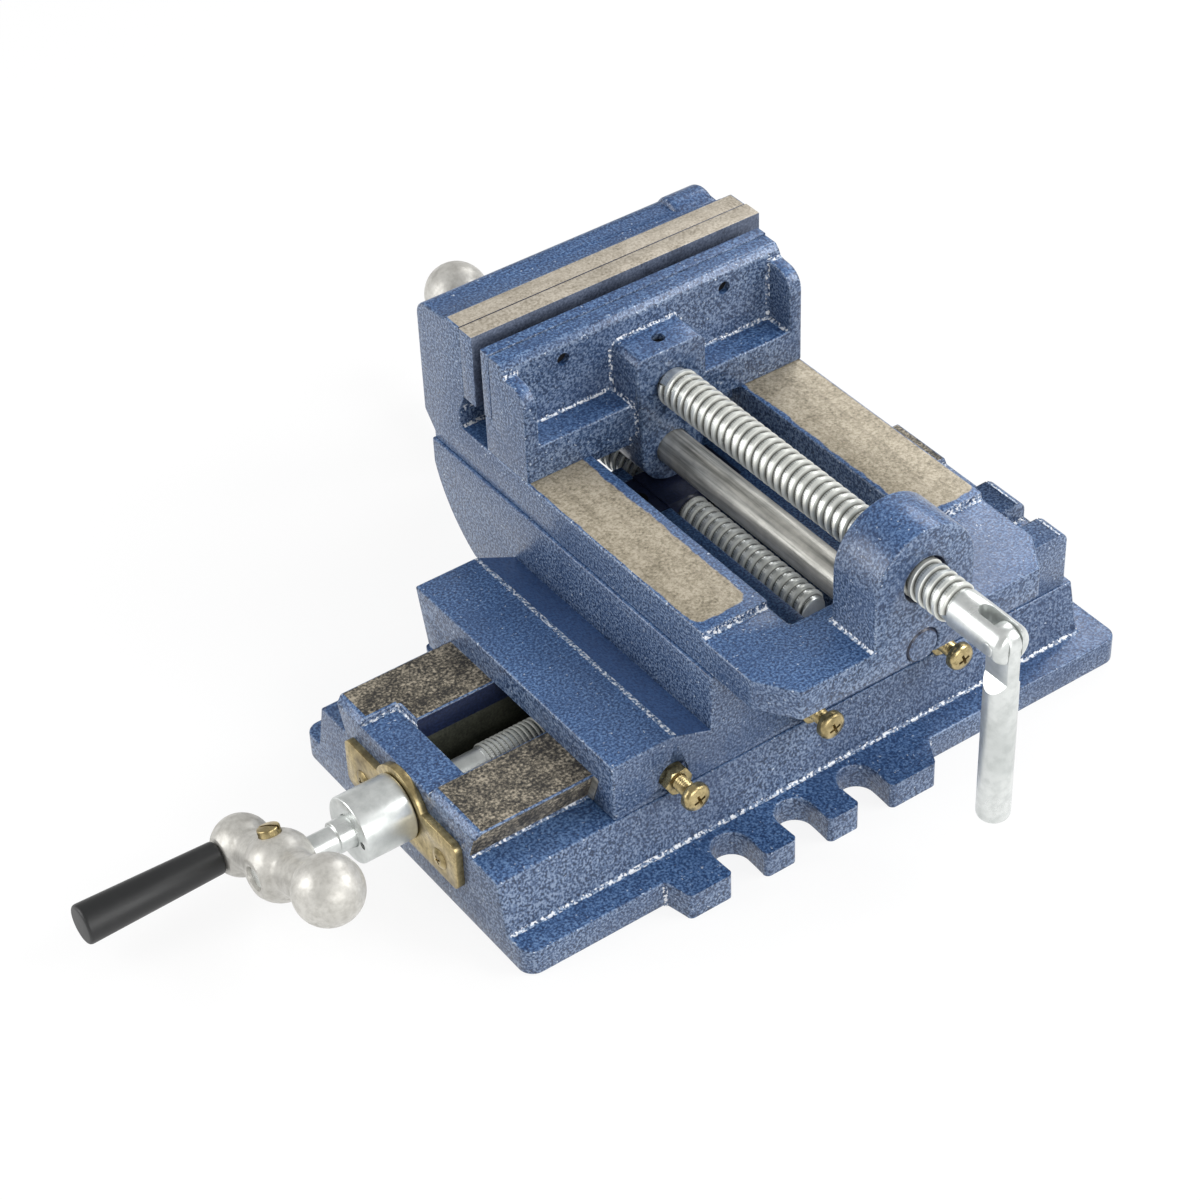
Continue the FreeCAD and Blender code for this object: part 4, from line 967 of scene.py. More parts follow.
def evaluated(mesh: bpy.types.Mesh, prepare: Callable[[bpy.types.Object], None]) -> bpy.types.Mesh:
    """Runs modifiers on a mesh and returns the plain result.

    Args:
        mesh: The mesh that carries the modifiers.
        prepare: Adds the modifiers to the carrying object.

    Returns:
        A new mesh with the modifiers' result.
    """
    carrier = linked("carrier", mesh)
    prepare(carrier)
    bpy.context.view_layer.update()
    graph = bpy.context.evaluated_depsgraph_get()
    result = bpy.data.meshes.new_from_object(carrier.evaluated_get(graph))
    bpy.data.objects.remove(carrier)
    return result


def carved(mesh: bpy.types.Mesh, cutters: Sequence[bpy.types.Mesh]) -> bpy.types.Mesh:
    """Takes closed cutters away from a closed mesh.

    Args:
        mesh: The mesh.
        cutters: The cutters, in place.

    Returns:
        A new mesh.
    """
    tools = [linked("cutter", cutter) for cutter in cutters]

    def prepare(carrier: bpy.types.Object) -> None:
        """Adds a cut for each cutter.

        Args:
            carrier: The object that carries the cuts.
        """
        for tool in tools:
            cut = carrier.modifiers.new("cut", "BOOLEAN")
            cut.operation = "DIFFERENCE"
            cut.solver = "EXACT"
            cut.object = tool

    result = evaluated(mesh, prepare)
    for tool in tools:
        bpy.data.objects.remove(tool)
    return result


def bevelled(mesh: bpy.types.Mesh, width: float, segments: int = 2, limit: float = 28.0,
             material: int = -1, weighted: bool = False, clamped: bool = True) -> bpy.types.Mesh:
    """Rounds every edge that is sharper than a limit, or every weighted edge.

    Args:
        mesh: The mesh.
        width: Width of the rounding in metres.
        segments: Number of strips on each edge.
        limit: Angle in degrees above which an edge is rounded.
        material: Material index of the new faces, or -1 to keep their neighbours'.
        weighted: Rounds only the edges that carry a bevel weight.
        clamped: Narrows the rounding where it would run into another one.

    Returns:
        A new mesh.
    """

    def prepare(carrier: bpy.types.Object) -> None:
        """Adds the rounding.

        Args:
            carrier: The object that carries it.
        """
        bevel = carrier.modifiers.new("bevel", "BEVEL")
        bevel.width = width
        bevel.segments = segments
        bevel.limit_method = "WEIGHT" if weighted else "ANGLE"
        bevel.angle_limit = math.radians(limit)
        bevel.miter_outer = "MITER_ARC"
        bevel.use_clamp_overlap = clamped
        bevel.material = material

    return evaluated(mesh, prepare)


def cleaned_copy(node: str) -> bpy.types.Mesh:
    """A CAD node's mesh with its triangles joined into flat faces.

    Args:
        node: The node's name.

    Returns:
        A new mesh without materials.
    """
    shape = bmesh.new()
    shape.from_mesh(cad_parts[node].data)
    bmesh.ops.remove_doubles(shape, verts=shape.verts, dist=WELD)
    bmesh.ops.dissolve_limit(shape, angle_limit=math.radians(FLAT_ANGLE), verts=shape.verts,
                             edges=shape.edges)
    mesh = as_mesh(shape, node)
    mesh.materials.clear()
    return mesh


def marked(mesh: bpy.types.Mesh, chosen: EdgeTest) -> bpy.types.Mesh:
    """Gives a bevel weight to the edges between broad faces that a test picks.

    Args:
        mesh: The mesh, changed in place.
        chosen: The test, given an edge and its angle in degrees, negative in an inner corner.

    Returns:
        The same mesh.
    """
    shape = bmesh.new()
    shape.from_mesh(mesh)
    layers = shape.edges.layers.float
    weight = layers.get("bevel_weight_edge") or layers.new("bevel_weight_edge")
    for edge in shape.edges:
        edge[weight] = 0.0
        if edge.is_manifold and min(face.calc_area() for face in edge.link_faces) > BROAD_FACE:
            edge[weight] = float(chosen(edge, math.degrees(edge.calc_face_angle_signed(0.0))))
    shape.to_mesh(mesh)
    shape.free()
    return mesh


def split_at(mesh: bpy.types.Mesh, place: Sequence[float], across: Axis) -> bpy.types.Mesh:
    """Splits a mesh's faces along a plane, without parting them.

    Args:
        mesh: The mesh, changed in place.
        place: A place on the plane.
        across: The direction that the plane faces.

    Returns:
        The same mesh.
    """
    shape = bmesh.new()
    shape.from_mesh(mesh)
    everything = list(shape.verts) + list(shape.edges) + list(shape.faces)
    bmesh.ops.bisect_plane(shape, geom=everything, plane_co=place, plane_no=across.value, dist=SEAL)
    shape.to_mesh(mesh)
    shape.free()
    return mesh


def settled(name: str, mesh: bpy.types.Mesh, body: str, materials: Sequence[bpy.types.Material],
            nodes: Sequence[str], slot: str, sharp: float = 38.0) -> bpy.types.Object:
    """Makes a finished piece and hands it to its body.

    Args:
        name: The piece's name.
        mesh: Its mesh, already in place.
        body: The CAD body that it rides on.
        materials: Its materials, by index.
        nodes: CAD nodes that it stands for.
        slot: The record's material slot; not used.
        sharp: Angle in degrees above which an edge stays sharp in shading.

    Returns:
        The piece.
    """
    indices = [polygon.material_index for polygon in mesh.polygons]
    mesh.materials.clear()
    for material in materials:
        mesh.materials.append(material)
    for polygon, index in zip(mesh.polygons, indices):
        polygon.material_index = min(index, len(materials) - 1)
        polygon.use_smooth = True
    mesh.set_sharp_from_angle(angle=math.radians(sharp))
    mesh.name = name
    piece = linked(name, mesh)
    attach(piece, body)
    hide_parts(*nodes)
    log.info("%s: %d faces on %s", name, len(mesh.polygons), body)
    return piece


def dressed(node: str, material: bpy.types.Material) -> None:
    """Gives a CAD node that stays as it is one material.

    Args:
        node: The node's name.
        material: The material.
    """
    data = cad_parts[node].data
    data.materials.clear()
    data.materials.append(material)


# Geometry Nodes

class NodeTree:
    """A Geometry Nodes tree with named inputs, whose result becomes a plain mesh."""

    def __init__(self, name: str) -> None:
        """Starts an empty tree with one geometry output.

        Args:
            name: The tree's name.
        """
        self.group = bpy.data.node_groups.new(name, "GeometryNodeTree")
        self.group.interface.new_socket("Geometry", in_out="OUTPUT",
                                        socket_type="NodeSocketGeometry")
        self.source = self.group.nodes.new("NodeGroupInput")
        self.sink = self.group.nodes.new("NodeGroupOutput")
        self.identifiers: dict[str, str] = {}

    def ask(self, name: str, kind: str) -> Socket:
        """Adds a named input.

        Args:
            name: The input's name.
            kind: Its type, without the common start of such names.

        Returns:
            Its socket inside the tree.
        """
        item = self.group.interface.new_socket(name, in_out="INPUT",
                                               socket_type="NodeSocket" + kind)
        self.identifiers[name] = item.identifier
        return self.source.outputs[name]

    def add(self, kind: str, inputs: Optional[dict[object, object]] = None,
            **settings: object) -> bpy.types.Node:
        """Adds a node.

        Args:
            kind: The node's type.
            inputs: Sockets or values for its inputs.
            **settings: Its properties.

        Returns:
            The node.
        """
        made = self.group.nodes.new(kind)
        for key, value in settings.items():
            setattr(made, key, value)
        for key, value in (inputs or {}).items():
            if isinstance(value, bpy.types.NodeSocket):
                self.group.links.new(value, made.inputs[key])
            else:
                made.inputs[key].default_value = value
        return made

    def math(self, operation: str, first: object, second: object = 0.0) -> Socket:
        """One arithmetic step."""
        return self.add("ShaderNodeMath", {0: first, 1: second}, operation=operation).outputs[0]

    def finish(self, geometry: Socket, material: Socket) -> None:
        """Ends the tree in Realize Instances and Set Material.

        Args:
            geometry: What the tree has made.
            material: Its material.
        """
        real = self.add("GeometryNodeRealizeInstances", {"Geometry": geometry})
        dressed_shape = self.add("GeometryNodeSetMaterial",
                                 {"Geometry": real.outputs["Geometry"], "Material": material})
        self.group.links.new(dressed_shape.outputs["Geometry"], self.sink.inputs["Geometry"])

    def mesh(self, values: dict[str, object]) -> bpy.types.Mesh:
        """Runs the tree.

        Args:
            values: Values of its named inputs.

        Returns:
            The result as a plain mesh.
        """

        def prepare(carrier: bpy.types.Object) -> None:
            """Adds the tree and sets its inputs by their identifiers.

            Args:
                carrier: The object that carries the tree.
            """
            modifier = carrier.modifiers.new("nodes", "NODES")
            modifier.node_group = self.group
            for name, value in values.items():
                modifier[self.identifiers[name]] = value

        return evaluated(bpy.data.meshes.new("carrier"), prepare)


class ThreadTree(NodeTree):
    """The helical skin of a screw thread along +X."""

    run_out: float = 0.5

    def __init__(self) -> None:
        """Builds the tree: a strip wound round the axis, with a rounded thread section."""
        super().__init__("screw_thread")
        length, pitch, root, depth, sharpness = (self.ask(name, "Float") for name in (
            "Length", "Pitch", "Root Radius", "Depth", "Sharpness"))
        steps, section = self.ask("Steps Per Turn", "Int"), self.ask("Section Points", "Int")
        material = self.ask("Material", "Material")
        turns = self.math("SUBTRACT", self.math("DIVIDE", length, pitch), 1.0)
        along = self.math("ADD", self.math("MULTIPLY", turns, steps), 1.0)
        grid = self.add("GeometryNodeMeshGrid",
                        {"Size X": 1.0, "Size Y": 1.0, "Vertices X": along, "Vertices Y": section})
        place = self.add("ShaderNodeSeparateXYZ",
                         {0: self.add("GeometryNodeInputPosition").outputs[0]})
        wound = self.math("MULTIPLY", self.math("ADD", place.outputs["X"], 0.5), turns)
        across = self.math("ADD", place.outputs["Y"], 0.5)
        x = self.math("MULTIPLY", self.math("ADD", wound, across), pitch)
        height = self.crest_height(across, sharpness, depth, self.fade(x, length, pitch))
        radius = self.math("ADD", root, height)
        angle = self.math("MULTIPLY", wound, math.tau)
        spot = self.add("ShaderNodeCombineXYZ", {
            "X": x,
            "Y": self.math("MULTIPLY", radius, self.math("COSINE", angle)),
            "Z": self.math("MULTIPLY", radius, self.math("SINE", angle)),
        })
        wrapped = self.add("GeometryNodeSetPosition",
                           {"Geometry": grid.outputs["Mesh"], "Position": spot.outputs[0]})
        sealed = self.add("GeometryNodeMergeByDistance",
                          {"Geometry": wrapped.outputs["Geometry"], "Distance": SEAL})
        self.finish(sealed.outputs["Geometry"], material)

    def fade(self, x: Socket, length: Socket, pitch: Socket) -> Socket:
        """How far the thread has come out of the core near its ends.

        Args:
            x: Place along the thread.
            length: The thread's length.
            pitch: Distance between crests.

        Returns:
            0 at an end, and 1 past the run-out.
        """
        to_end = self.math("MINIMUM", x, self.math("SUBTRACT", length, x))
        share = self.math("DIVIDE", to_end, self.math("MULTIPLY", pitch, self.run_out))
        return self.math("MAXIMUM", self.math("MINIMUM", share, 1.0), 0.0)

    def crest_height(self, across: Socket, sharpness: Socket, depth: Socket,
                     fade: Socket) -> Socket:
        """Height of the thread above its root.

        Args:
            across: Place across one thread, 0 to 1.
            sharpness: Steepness of the flanks.
            depth: Depth of the thread.
            fade: Share of the depth that is reached.

        Returns:
            The height.
        """
        turn = self.math("COSINE", self.math("MULTIPLY", across, math.tau))
        wave = self.math("SUBTRACT", 0.5, self.math("MULTIPLY", turn, sharpness))
        crest = self.math("MINIMUM", self.math("MAXIMUM", wave, 0.0), 1.0)
        return self.math("MULTIPLY", self.math("MULTIPLY", depth, crest), fade)


class RowTree(NodeTree):
    """Copies of one piece in a straight row."""

    def __init__(self) -> None:
        """Builds the tree: a line of points with the piece at each."""
        super().__init__("row_of_copies")
        piece, count = self.ask("Piece", "Object"), self.ask("Count", "Int")
        step, material = self.ask("Step", "Vector"), self.ask("Material", "Material")
        line = self.add("GeometryNodeMeshLine", {"Count": count, "Offset": step})
        shape = self.add("GeometryNodeObjectInfo", {"Object": piece})
        copies = self.add("GeometryNodeInstanceOnPoints",
                          {"Points": line.outputs["Mesh"], "Instance": shape.outputs["Geometry"]})
        self.finish(copies.outputs["Instances"], material)


@dataclass
class Threads:
    """Cuts threads and lays rows of copies with the two trees."""

    thread: ThreadTree = field(default_factory=ThreadTree)
    row: RowTree = field(default_factory=RowTree)

    def skin(self, start: float, end: float, pitch: float, outer: float, depth: float,
             material: bpy.types.Material, sharpness: float = 1.0, steps: int = 40,
             section: int = 13) -> bpy.types.Mesh:
        """A thread's skin along +X.

        Args:
            start: Where the thread starts, in metres.
            end: Where it ends.
            pitch: Distance between crests.
            outer: Outer radius.
            depth: Depth of the thread.
            material: Its material.
            sharpness: Steepness of the flanks.
            steps: Facets in a turn.
            section: Points across one thread.

        Returns:
            The skin as a mesh, facing outwards.
        """
        mesh = self.thread.mesh({
            "Length": end - start, "Pitch": pitch, "Root Radius": outer - depth, "Depth": depth,
            "Sharpness": sharpness, "Steps Per Turn": steps, "Section Points": section,
            "Material": material,
        })
        mesh.transform(Matrix.Translation((start, 0, 0)))
        outward = 0.0
        for polygon in mesh.polygons:
            outward += polygon.normal.y * polygon.center.y + polygon.normal.z * polygon.center.z
        if outward < 0:
            mesh.flip_normals()
        return mesh

    def copies(self, mesh: bpy.types.Mesh, count: int, step: Sequence[float],
               material: bpy.types.Material) -> bpy.types.Mesh:
        """A row of copies of a mesh.

        Args:
            mesh: The first copy, in place.
            count: Number of copies.
            step: Distance from one to the next.
            material: Their material.

        Returns:
            One mesh that holds every copy.
        """
        pattern = linked("pattern", mesh)
        bpy.context.view_layer.update()
        made = self.row.mesh({"Piece": pattern, "Count": count, "Step": tuple(step),
                              "Material": material})
        bpy.data.objects.remove(pattern)
        return made


# Castings

class Skin(Enum):
    """A casting's kinds of surface, by material index."""

    PAINT = 0
    # The edge and glint kinds carry painted highlights; the shaded and channel kinds, and the
    # smooth kind on slopes, carry painted shade.
    EDGE = 1
    GLINT = 2
    BARE = 3
    SHADED = 4
    SMOOTH = 5
    STRIP = 6
    CHANNEL = 7
    RAW = 8


@dataclass
class Casting:
    """A painted casting made from its CAD node, with rounded edges and machined faces."""

    node: str
    body: str
    finishes: Finishes
    edge: float = 0.8 * MM
    inner_edge: float = 1.1 * MM
    edge_steps: int = 3
    inner_angle: float = -25.0
    outer_angle: float = 30.0
    slot: str = "hammered_paint"

    def bare(self) -> bpy.types.Material:
        """The material of the machined faces."""
        return self.finishes.rail_iron

    def surface(self, corners: Sequence[Vector], centre: Vector, normal: Vector) -> Optional[Skin]:
        """The kind of surface that a face has, or None to leave the face as it is."""
        return None

    def glints(self, edge: bmesh.types.BMEdge, angle: float) -> bool:
        """True for an edge where the paint gathers into a rounding that gets the painted highlight:
        the inner corners.
        """
        return angle < self.inner_angle

    def is_outer(self, edge: bmesh.types.BMEdge, angle: float) -> bool:
        """True for an outer edge that is rounded and gets the painted highlight."""
        return angle > self.outer_angle

    def prepared(self, mesh: bpy.types.Mesh) -> bpy.types.Mesh:
        """Changes the mesh before its edges are rounded."""
        return mesh

    def rounded(self, mesh: bpy.types.Mesh, chosen: EdgeTest, width: float,
                kind: Skin) -> bpy.types.Mesh:
        """Rounds the edges that a test picks, with new faces of one kind of surface."""
        return bevelled(marked(mesh, chosen), width, self.edge_steps, material=kind.value,
                        weighted=True, clamped=False)

    def build(self) -> bpy.types.Object:
        """Makes the casting.

        Returns:
            Its piece.
        """
        mesh = self.prepared(cleaned_copy(self.node))
        mesh.materials.clear()
        for _ in Skin:
            mesh.materials.append(None)
        for polygon in mesh.polygons:
            polygon.material_index = Skin.PAINT.value
        # Painted highlight on the rounded inner corners.
        mesh = self.rounded(mesh, self.glints, self.inner_edge, Skin.GLINT)
        # Painted highlight on the rounded outer edges.
        mesh = self.rounded(mesh, self.is_outer, self.edge, Skin.EDGE)
        for polygon in mesh.polygons:
            corners = [mesh.vertices[index].co for index in polygon.vertices]
            kind = self.surface(corners, polygon.center, polygon.normal)
            if kind:
                polygon.material_index = kind.value
        finishes = self.finishes
        looks = {
            Skin.PAINT: finishes.enamel, Skin.EDGE: finishes.edge_highlight_enamel,
            Skin.GLINT: finishes.glint_enamel, Skin.BARE: self.bare(),
            Skin.SHADED: finishes.painted_shade_enamel, Skin.SMOOTH: finishes.smooth_enamel,
            Skin.STRIP: finishes.jaw_steel, Skin.CHANNEL: finishes.channel_shade_enamel,
            Skin.RAW: finishes.raw_iron,
        }
        return settled(self.node + "_dressed", mesh, self.body, [looks[kind] for kind in Skin],
                       (self.node,), self.slot)


@dataclass
class BaseCasting(Casting):
    """The base, with speckled bare ways and painted shade on the channel's enamel."""

    way_height: float = 46.5 * MM
    ledge_height: float = 32.7 * MM
    dovetail_reach: float = 45.5 * MM
    channel_reach: float = 16.4 * MM
    channel_start: float = -119.0 * MM
    channel_end: float = 117.0 * MM
    paint_foot: float = 36.5 * MM

    def prepared(self, mesh: bpy.types.Mesh) -> bpy.types.Mesh:
        """Parts the channel's painted walls from what runs on past its ends and below the paint.

        Args:
            mesh: The casting's mesh.

        Returns:
            The same mesh.
        """
        for place in (self.channel_start, self.channel_end):
            mesh = split_at(mesh, (place, 0, 0), Axis.TOWARDS_FAR_END)
        return split_at(mesh, (0, 0, self.paint_foot), Axis.UP)

    def bare(self) -> bpy.types.Material:
        """The darker iron of the base ways."""
        return self.finishes.base_iron

    def surface(self, corners: Sequence[Vector], centre: Vector, normal: Vector) -> Optional[Skin]:
        """Bare on the tops and flanks of the ways; down the channel, enamel darkened as painted
        shade, then raw.

        Args:
            corners: The face's corners.
            centre: Its centre.
            normal: Its normal.

        Returns:
            The kind, or None to leave the face as it is.
        """
        low, high = self.channel_start - NEAR, self.channel_end + NEAR
        if all(abs(corner.y) < self.channel_reach and low < corner.x < high for corner in corners):
            # Painted shade on the channel's enamel, above its raw iron.
            return Skin.RAW if centre.z < self.paint_foot else Skin.CHANNEL
        on_top = normal.z > LEVEL and centre.z > self.way_height - NEAR
        undercut = normal.z < OVERHUNG and self.ledge_height < centre.z < self.way_height
        flank = undercut and abs(centre.y) < self.dovetail_reach
        return Skin.BARE if on_top or flank else None


@dataclass
class SaddleCasting(Casting):
    """The saddle, with bare rail tops except for the painted rim beside the vise body."""

    rail_height: float = 76.0 * MM
    painted_rim: float = -42.2 * MM
    wing_height: float = 58.1 * MM
    valley_height: float = 51.8 * MM
    flank_reach: float = -60.0 * MM
    dovetail_depth: float = 12.0 * MM
    crest_rounding: float = 0.6 * MM
    crest_angle: float = 5.0
    slope_rise: Point = (0.85, 0.992)
    flank_facing: float = -0.7
    dovetail_facing: float = 0.5

    def prepared(self, mesh: bpy.types.Mesh) -> bpy.types.Mesh:
        """Parts the rail tops from their rim."""
        return split_at(mesh, (self.painted_rim, 0, 0), Axis.TOWARDS_FAR_END)

    def glints(self, edge: bmesh.types.BMEdge, angle: float) -> bool:
        """Picks the inner corners except the valley's, and the crest of the wing beside its slope.

        Args:
            edge: The edge.
            angle: Its angle in degrees.

        Returns:
            True for an edge whose rounding gets the painted highlight.
        """
        heights = [vert.co.z for vert in edge.verts]
        crest = all(abs(height - self.wing_height) < NEAR for height in heights)
        valley = all(abs(height - self.valley_height) < NEAR for height in heights)
        inner = angle < self.inner_angle and not valley
        return inner or (crest and self.crest_angle < angle < self.outer_angle)

    def surface(self, corners: Sequence[Vector], centre: Vector, normal: Vector) -> Optional[Skin]:
        """Bare on the rail tops and in the dovetail, smooth on the wing's slope and rail's flank,
        the slope darkened as painted shade.

        Args:
            corners: The face's corners; not used.
            centre: Its centre.
            normal: Its normal.

        Returns:
            The kind, or None to leave the face as it is.
        """
        above_valley = centre.z > self.valley_height
        steepest, flattest = self.slope_rise
        below_crest = centre.z < self.wing_height - self.crest_rounding
        slope = steepest < normal.z < flattest and below_crest
        outward = normal.x < self.flank_facing
        flank = outward and self.flank_reach < centre.x < self.painted_rim
        # Smooth enamel on the slope and flank; on the slope its darker tones are painted shade.
        if above_valley and (slope or flank):
            return Skin.SMOOTH
        if centre.x < self.painted_rim:
            return None
        on_top = normal.z > LEVEL and centre.z > self.rail_height - NEAR
        in_dovetail = centre.z > self.rail_height - self.dovetail_depth
        undercut = normal.z < OVERHUNG and abs(normal.x) > self.dovetail_facing and in_dovetail
        return Skin.BARE if on_top or undercut else None


@dataclass
class ViseBodyCasting(Casting):
    """The vise body, with bare ways and a bare strip on top of the fixed jaw."""

    land_top: float = 88.6 * MM
    way_top: float = 91.4 * MM
    jaw_top: float = 138.0 * MM
    jaw_face: float = 93.0 * MM
    back_start: float = 102.0 * MM
    screw_place: Triple = (19.6 * MM, -92.0 * MM, 110.5 * MM)
    screw_radius: float = 8.0 * MM
    screw_clearance: float = 0.15 * MM
    mouth: float = 1.2 * MM
    mouth_depth: float = 5.0 * MM
    step_facing: float = -0.9

    def glints(self, edge: bmesh.types.BMEdge, angle: float) -> bool:
        """The inner corners that get the painted highlight, but none on the fixed jaw's back."""
        in_front = min(vert.co.y for vert in edge.verts) < self.back_start
        return super().glints(edge, angle) and in_front

    def bare(self) -> bpy.types.Material:
        """The paler iron of the ways."""
        return self.finishes.way_iron

    def prepared(self, mesh: bpy.types.Mesh) -> bpy.types.Mesh:
        """Eases the mouth of the clamp screw's hole, whose cone gets painted shade as a dark ring.

        Args:
            mesh: The casting's mesh.

        Returns:
            A new mesh.
        """
        outer = self.screw_radius + self.mouth
        inner = self.screw_radius + self.screw_clearance
        cone = lathed([(-MM, 0), (-MM, outer), (0, outer), (self.mouth_depth, inner),
                       (self.mouth_depth, 0)], 64)
        return carved(mesh, [laid(cone, self.screw_place, Axis.TOWARDS_FIXED_JAW)])

    def surface(self, corners: Sequence[Vector], centre: Vector, normal: Vector) -> Optional[Skin]:
        """Bare on the ways, the jaw's top strip and its seat, and painted shade in the screw's
        hole.

        Args:
            corners: The face's corners; not used.
            centre: Its centre.
            normal: Its normal.

        Returns:
            The kind, or None to leave the face as it is.
        """
        away = centre - Vector(self.screw_place)
        past_face = centre.y - self.jaw_face
        in_hole = math.hypot(away.x, away.z) < self.screw_radius + self.mouth
        on_strip = normal.z > LEVEL and abs(centre.z - self.jaw_top) < NEAR
        on_seat = normal.y < -LEVEL and abs(past_face) < NEAR and centre.z > self.way_top
        at_seam = 0.0 < past_face < self.edge and centre.z > self.jaw_top - self.edge
        on_way = normal.z > LEVEL and abs(centre.z - self.way_top) < NEAR
        on_step = (normal.y < self.step_facing and self.land_top < centre.z < self.way_top
                   and centre.y < 0)
        # Painted shade in the mouth of the screw's hole.
        if in_hole and abs(normal.y) < LEVEL:
            return Skin.SHADED
        if on_strip:
            return Skin.STRIP
        # Painted shade along the seam between the jaw's strip and its plate.
        if at_seam:
            return Skin.SHADED
        if on_way:
            return Skin.BARE
        # Painted highlight on the step in front of the ways.
        if on_step:
            return Skin.GLINT
        return Skin.STRIP if on_seat else None


# Feed screws, cranks and bearing plates

@dataclass
class FeedDrive:
    """One feed screw with its plate, collar, crank and grip; its own X axis points outwards."""

    prefix: str
    screw_body: str
    plate_body: str
    origin: Triple
    axis: Axis
    crank_angle: float
    thread_far: float
    thread_near: float
    plate_screw_spacing: float
    finishes: Finishes
    threads: Threads
    pitch: float = 4.0 * MM
    thread_radius: float = 7.0 * MM
    thread_depth: float = 1.3 * MM
    thread_chamfer: float = 0.8 * MM
    # Dirt and painted shade in the thread's roots, up to this share of its depth.
    undarkened_share: float = 0.6
    dirt_and_shade: Colour = from_screen(72, 72, 66)
    thread_metallic: float = 0.42
    journal_radius: float = 6.0 * MM
    spigot_radius: float = 4.75 * MM
    spigot_inset: float = 1.4 * MM
    plate_thickness: float = 3.0 * MM
    thrust_radius: float = 10.0 * MM
    thrust_thickness: float = 3.5 * MM
    shaft_length: float = 27.0 * MM
    crank_distance: float = 48.2 * MM
    press_gap: float = 0.05 * MM
    collar_gap: float = 0.3 * MM
    collar_length: float = 20.7 * MM
    collar_radius: float = 12.75 * MM
    pin_hole_radius: float = 1.5 * MM
    pin_hole_depth: float = 4.0 * MM
    hub_radius: float = 13.0 * MM
    hub_flat: float = 10.8 * MM
    grip_flat: float = 9.0 * MM
    weight_radius: float = 12.7 * MM
    small_radius: float = 11.4 * MM
    weight_arm: float = 36.5 * MM
    grip_arm: float = 31.5 * MM
    weight_neck: float = 8.3 * MM
    grip_neck: float = 7.6 * MM
    blend_power: float = 9.0
    arm_steps: int = 132
    arm_edge: float = 0.7 * MM
    grip_start: float = 9.5 * MM
    grip_length: float = 54.5 * MM
    grip_small: float = 6.15 * MM
    grip_large: float = 7.6 * MM
    grip_bore: float = 3.05 * MM
    grip_floor: float = 12.0 * MM
    set_screw_radius: float = 4.2 * MM
    set_screw_gap: float = 0.1 * MM
    set_screw_stand: float = 2.0 * MM
    set_screw_crown: float = 0.5 * MM
    set_screw_turn: float = 35.0
    slot_depth: float = 1.4 * MM
    slot_half: float = 0.55 * MM
    plate_edge: float = 0.45 * MM
    plate_screw_radius: float = 2.25 * MM
    plate_screw_head: float = 4.3 * MM
    plate_screw_crown: float = 1.1 * MM
    plate_screw_recess: float = 2.2 * MM
    plate_screw_below: float = 7.0 * MM
    plate_screw_length: float = 12.0 * MM
    plate_screw_turn: float = 25.0

    def laid(self, mesh: bpy.types.Mesh, offset: Sequence[float] = (0, 0, 0)) -> bpy.types.Mesh:
        """Moves a mesh by an offset in the drive's own frame and lays it into the vise."""
        mesh.transform(Matrix.Translation(Vector(offset)))
        return laid(mesh, self.origin, self.axis)

    def tilted(self, mesh: bpy.types.Mesh) -> bpy.types.Mesh:
        """Turns a mesh of the crank up to the arm's angle, moves it to the hub and lays it."""
        turned(mesh, "X", self.crank_angle)
        return self.laid(mesh, (self.crank_distance, 0, 0))

    def build_screw(self) -> None:
        """The feed screw: a turned core with a thread."""
        root = self.thread_radius - self.thread_depth
        seat = -self.plate_thickness
        thrust = seat - self.thrust_thickness
        end = self.crank_distance + self.hub_flat - self.spigot_inset
        outline = [
            (self.thread_far, 0), (self.thread_far, root - self.thread_chamfer / 2),
            (self.thread_far + self.thread_chamfer, root), (self.thread_near, root),
            (self.thread_near, self.journal_radius), (thrust, self.journal_radius),
            (thrust, self.thrust_radius), (seat, self.thrust_radius), (seat, self.journal_radius),
            (self.shaft_length, self.journal_radius), (self.shaft_length, self.spigot_radius),
            (end, self.spigot_radius), (end, 0),
        ]
        core = lathed(softened(outline, radius=0.5 * MM), segments=64)
        crest = root + self.undarkened_share * self.thread_depth
        finish = self.finishes.threaded(self.prefix + "_thread_zinc", self.origin, self.axis, root,
                                        crest, self.dirt_and_shade, self.thread_metallic)
        skin = self.threads.skin(self.thread_far, self.thread_near, self.pitch, self.thread_radius,
                                 self.thread_depth, finish)
        node = self.prefix + "_feed_screw"
        whole = self.laid(merged([core, with_material(skin, 1)]))
        settled(node + "_threaded", whole, self.screw_body, [self.finishes.zinc, finish], (node,),
                "bright_zinc", sharp=30.0)

    def build_collar(self) -> None:
        """The collar with its pin hole."""
        bore = self.journal_radius + self.press_gap
        end = self.collar_gap + self.collar_length
        outline = [
            (self.collar_gap, bore), (self.collar_gap, self.collar_radius),
            (end, self.collar_radius), (end, bore), (self.collar_gap, bore),
        ]
        ring = lathed(softened(outline, radius=0.9 * MM, steps=4), segments=96)
        hole = rod_between(end - self.pin_hole_depth, end + MM, self.pin_hole_radius, 24)
        hole.transform(Matrix.Translation((0, (self.collar_radius + self.journal_radius) / 2, 0)))
        node = self.prefix + "_collar"
        settled(node + "_turned", self.laid(carved(ring, [hole])), self.screw_body,
                [self.finishes.zinc], (node,), "bright_zinc")

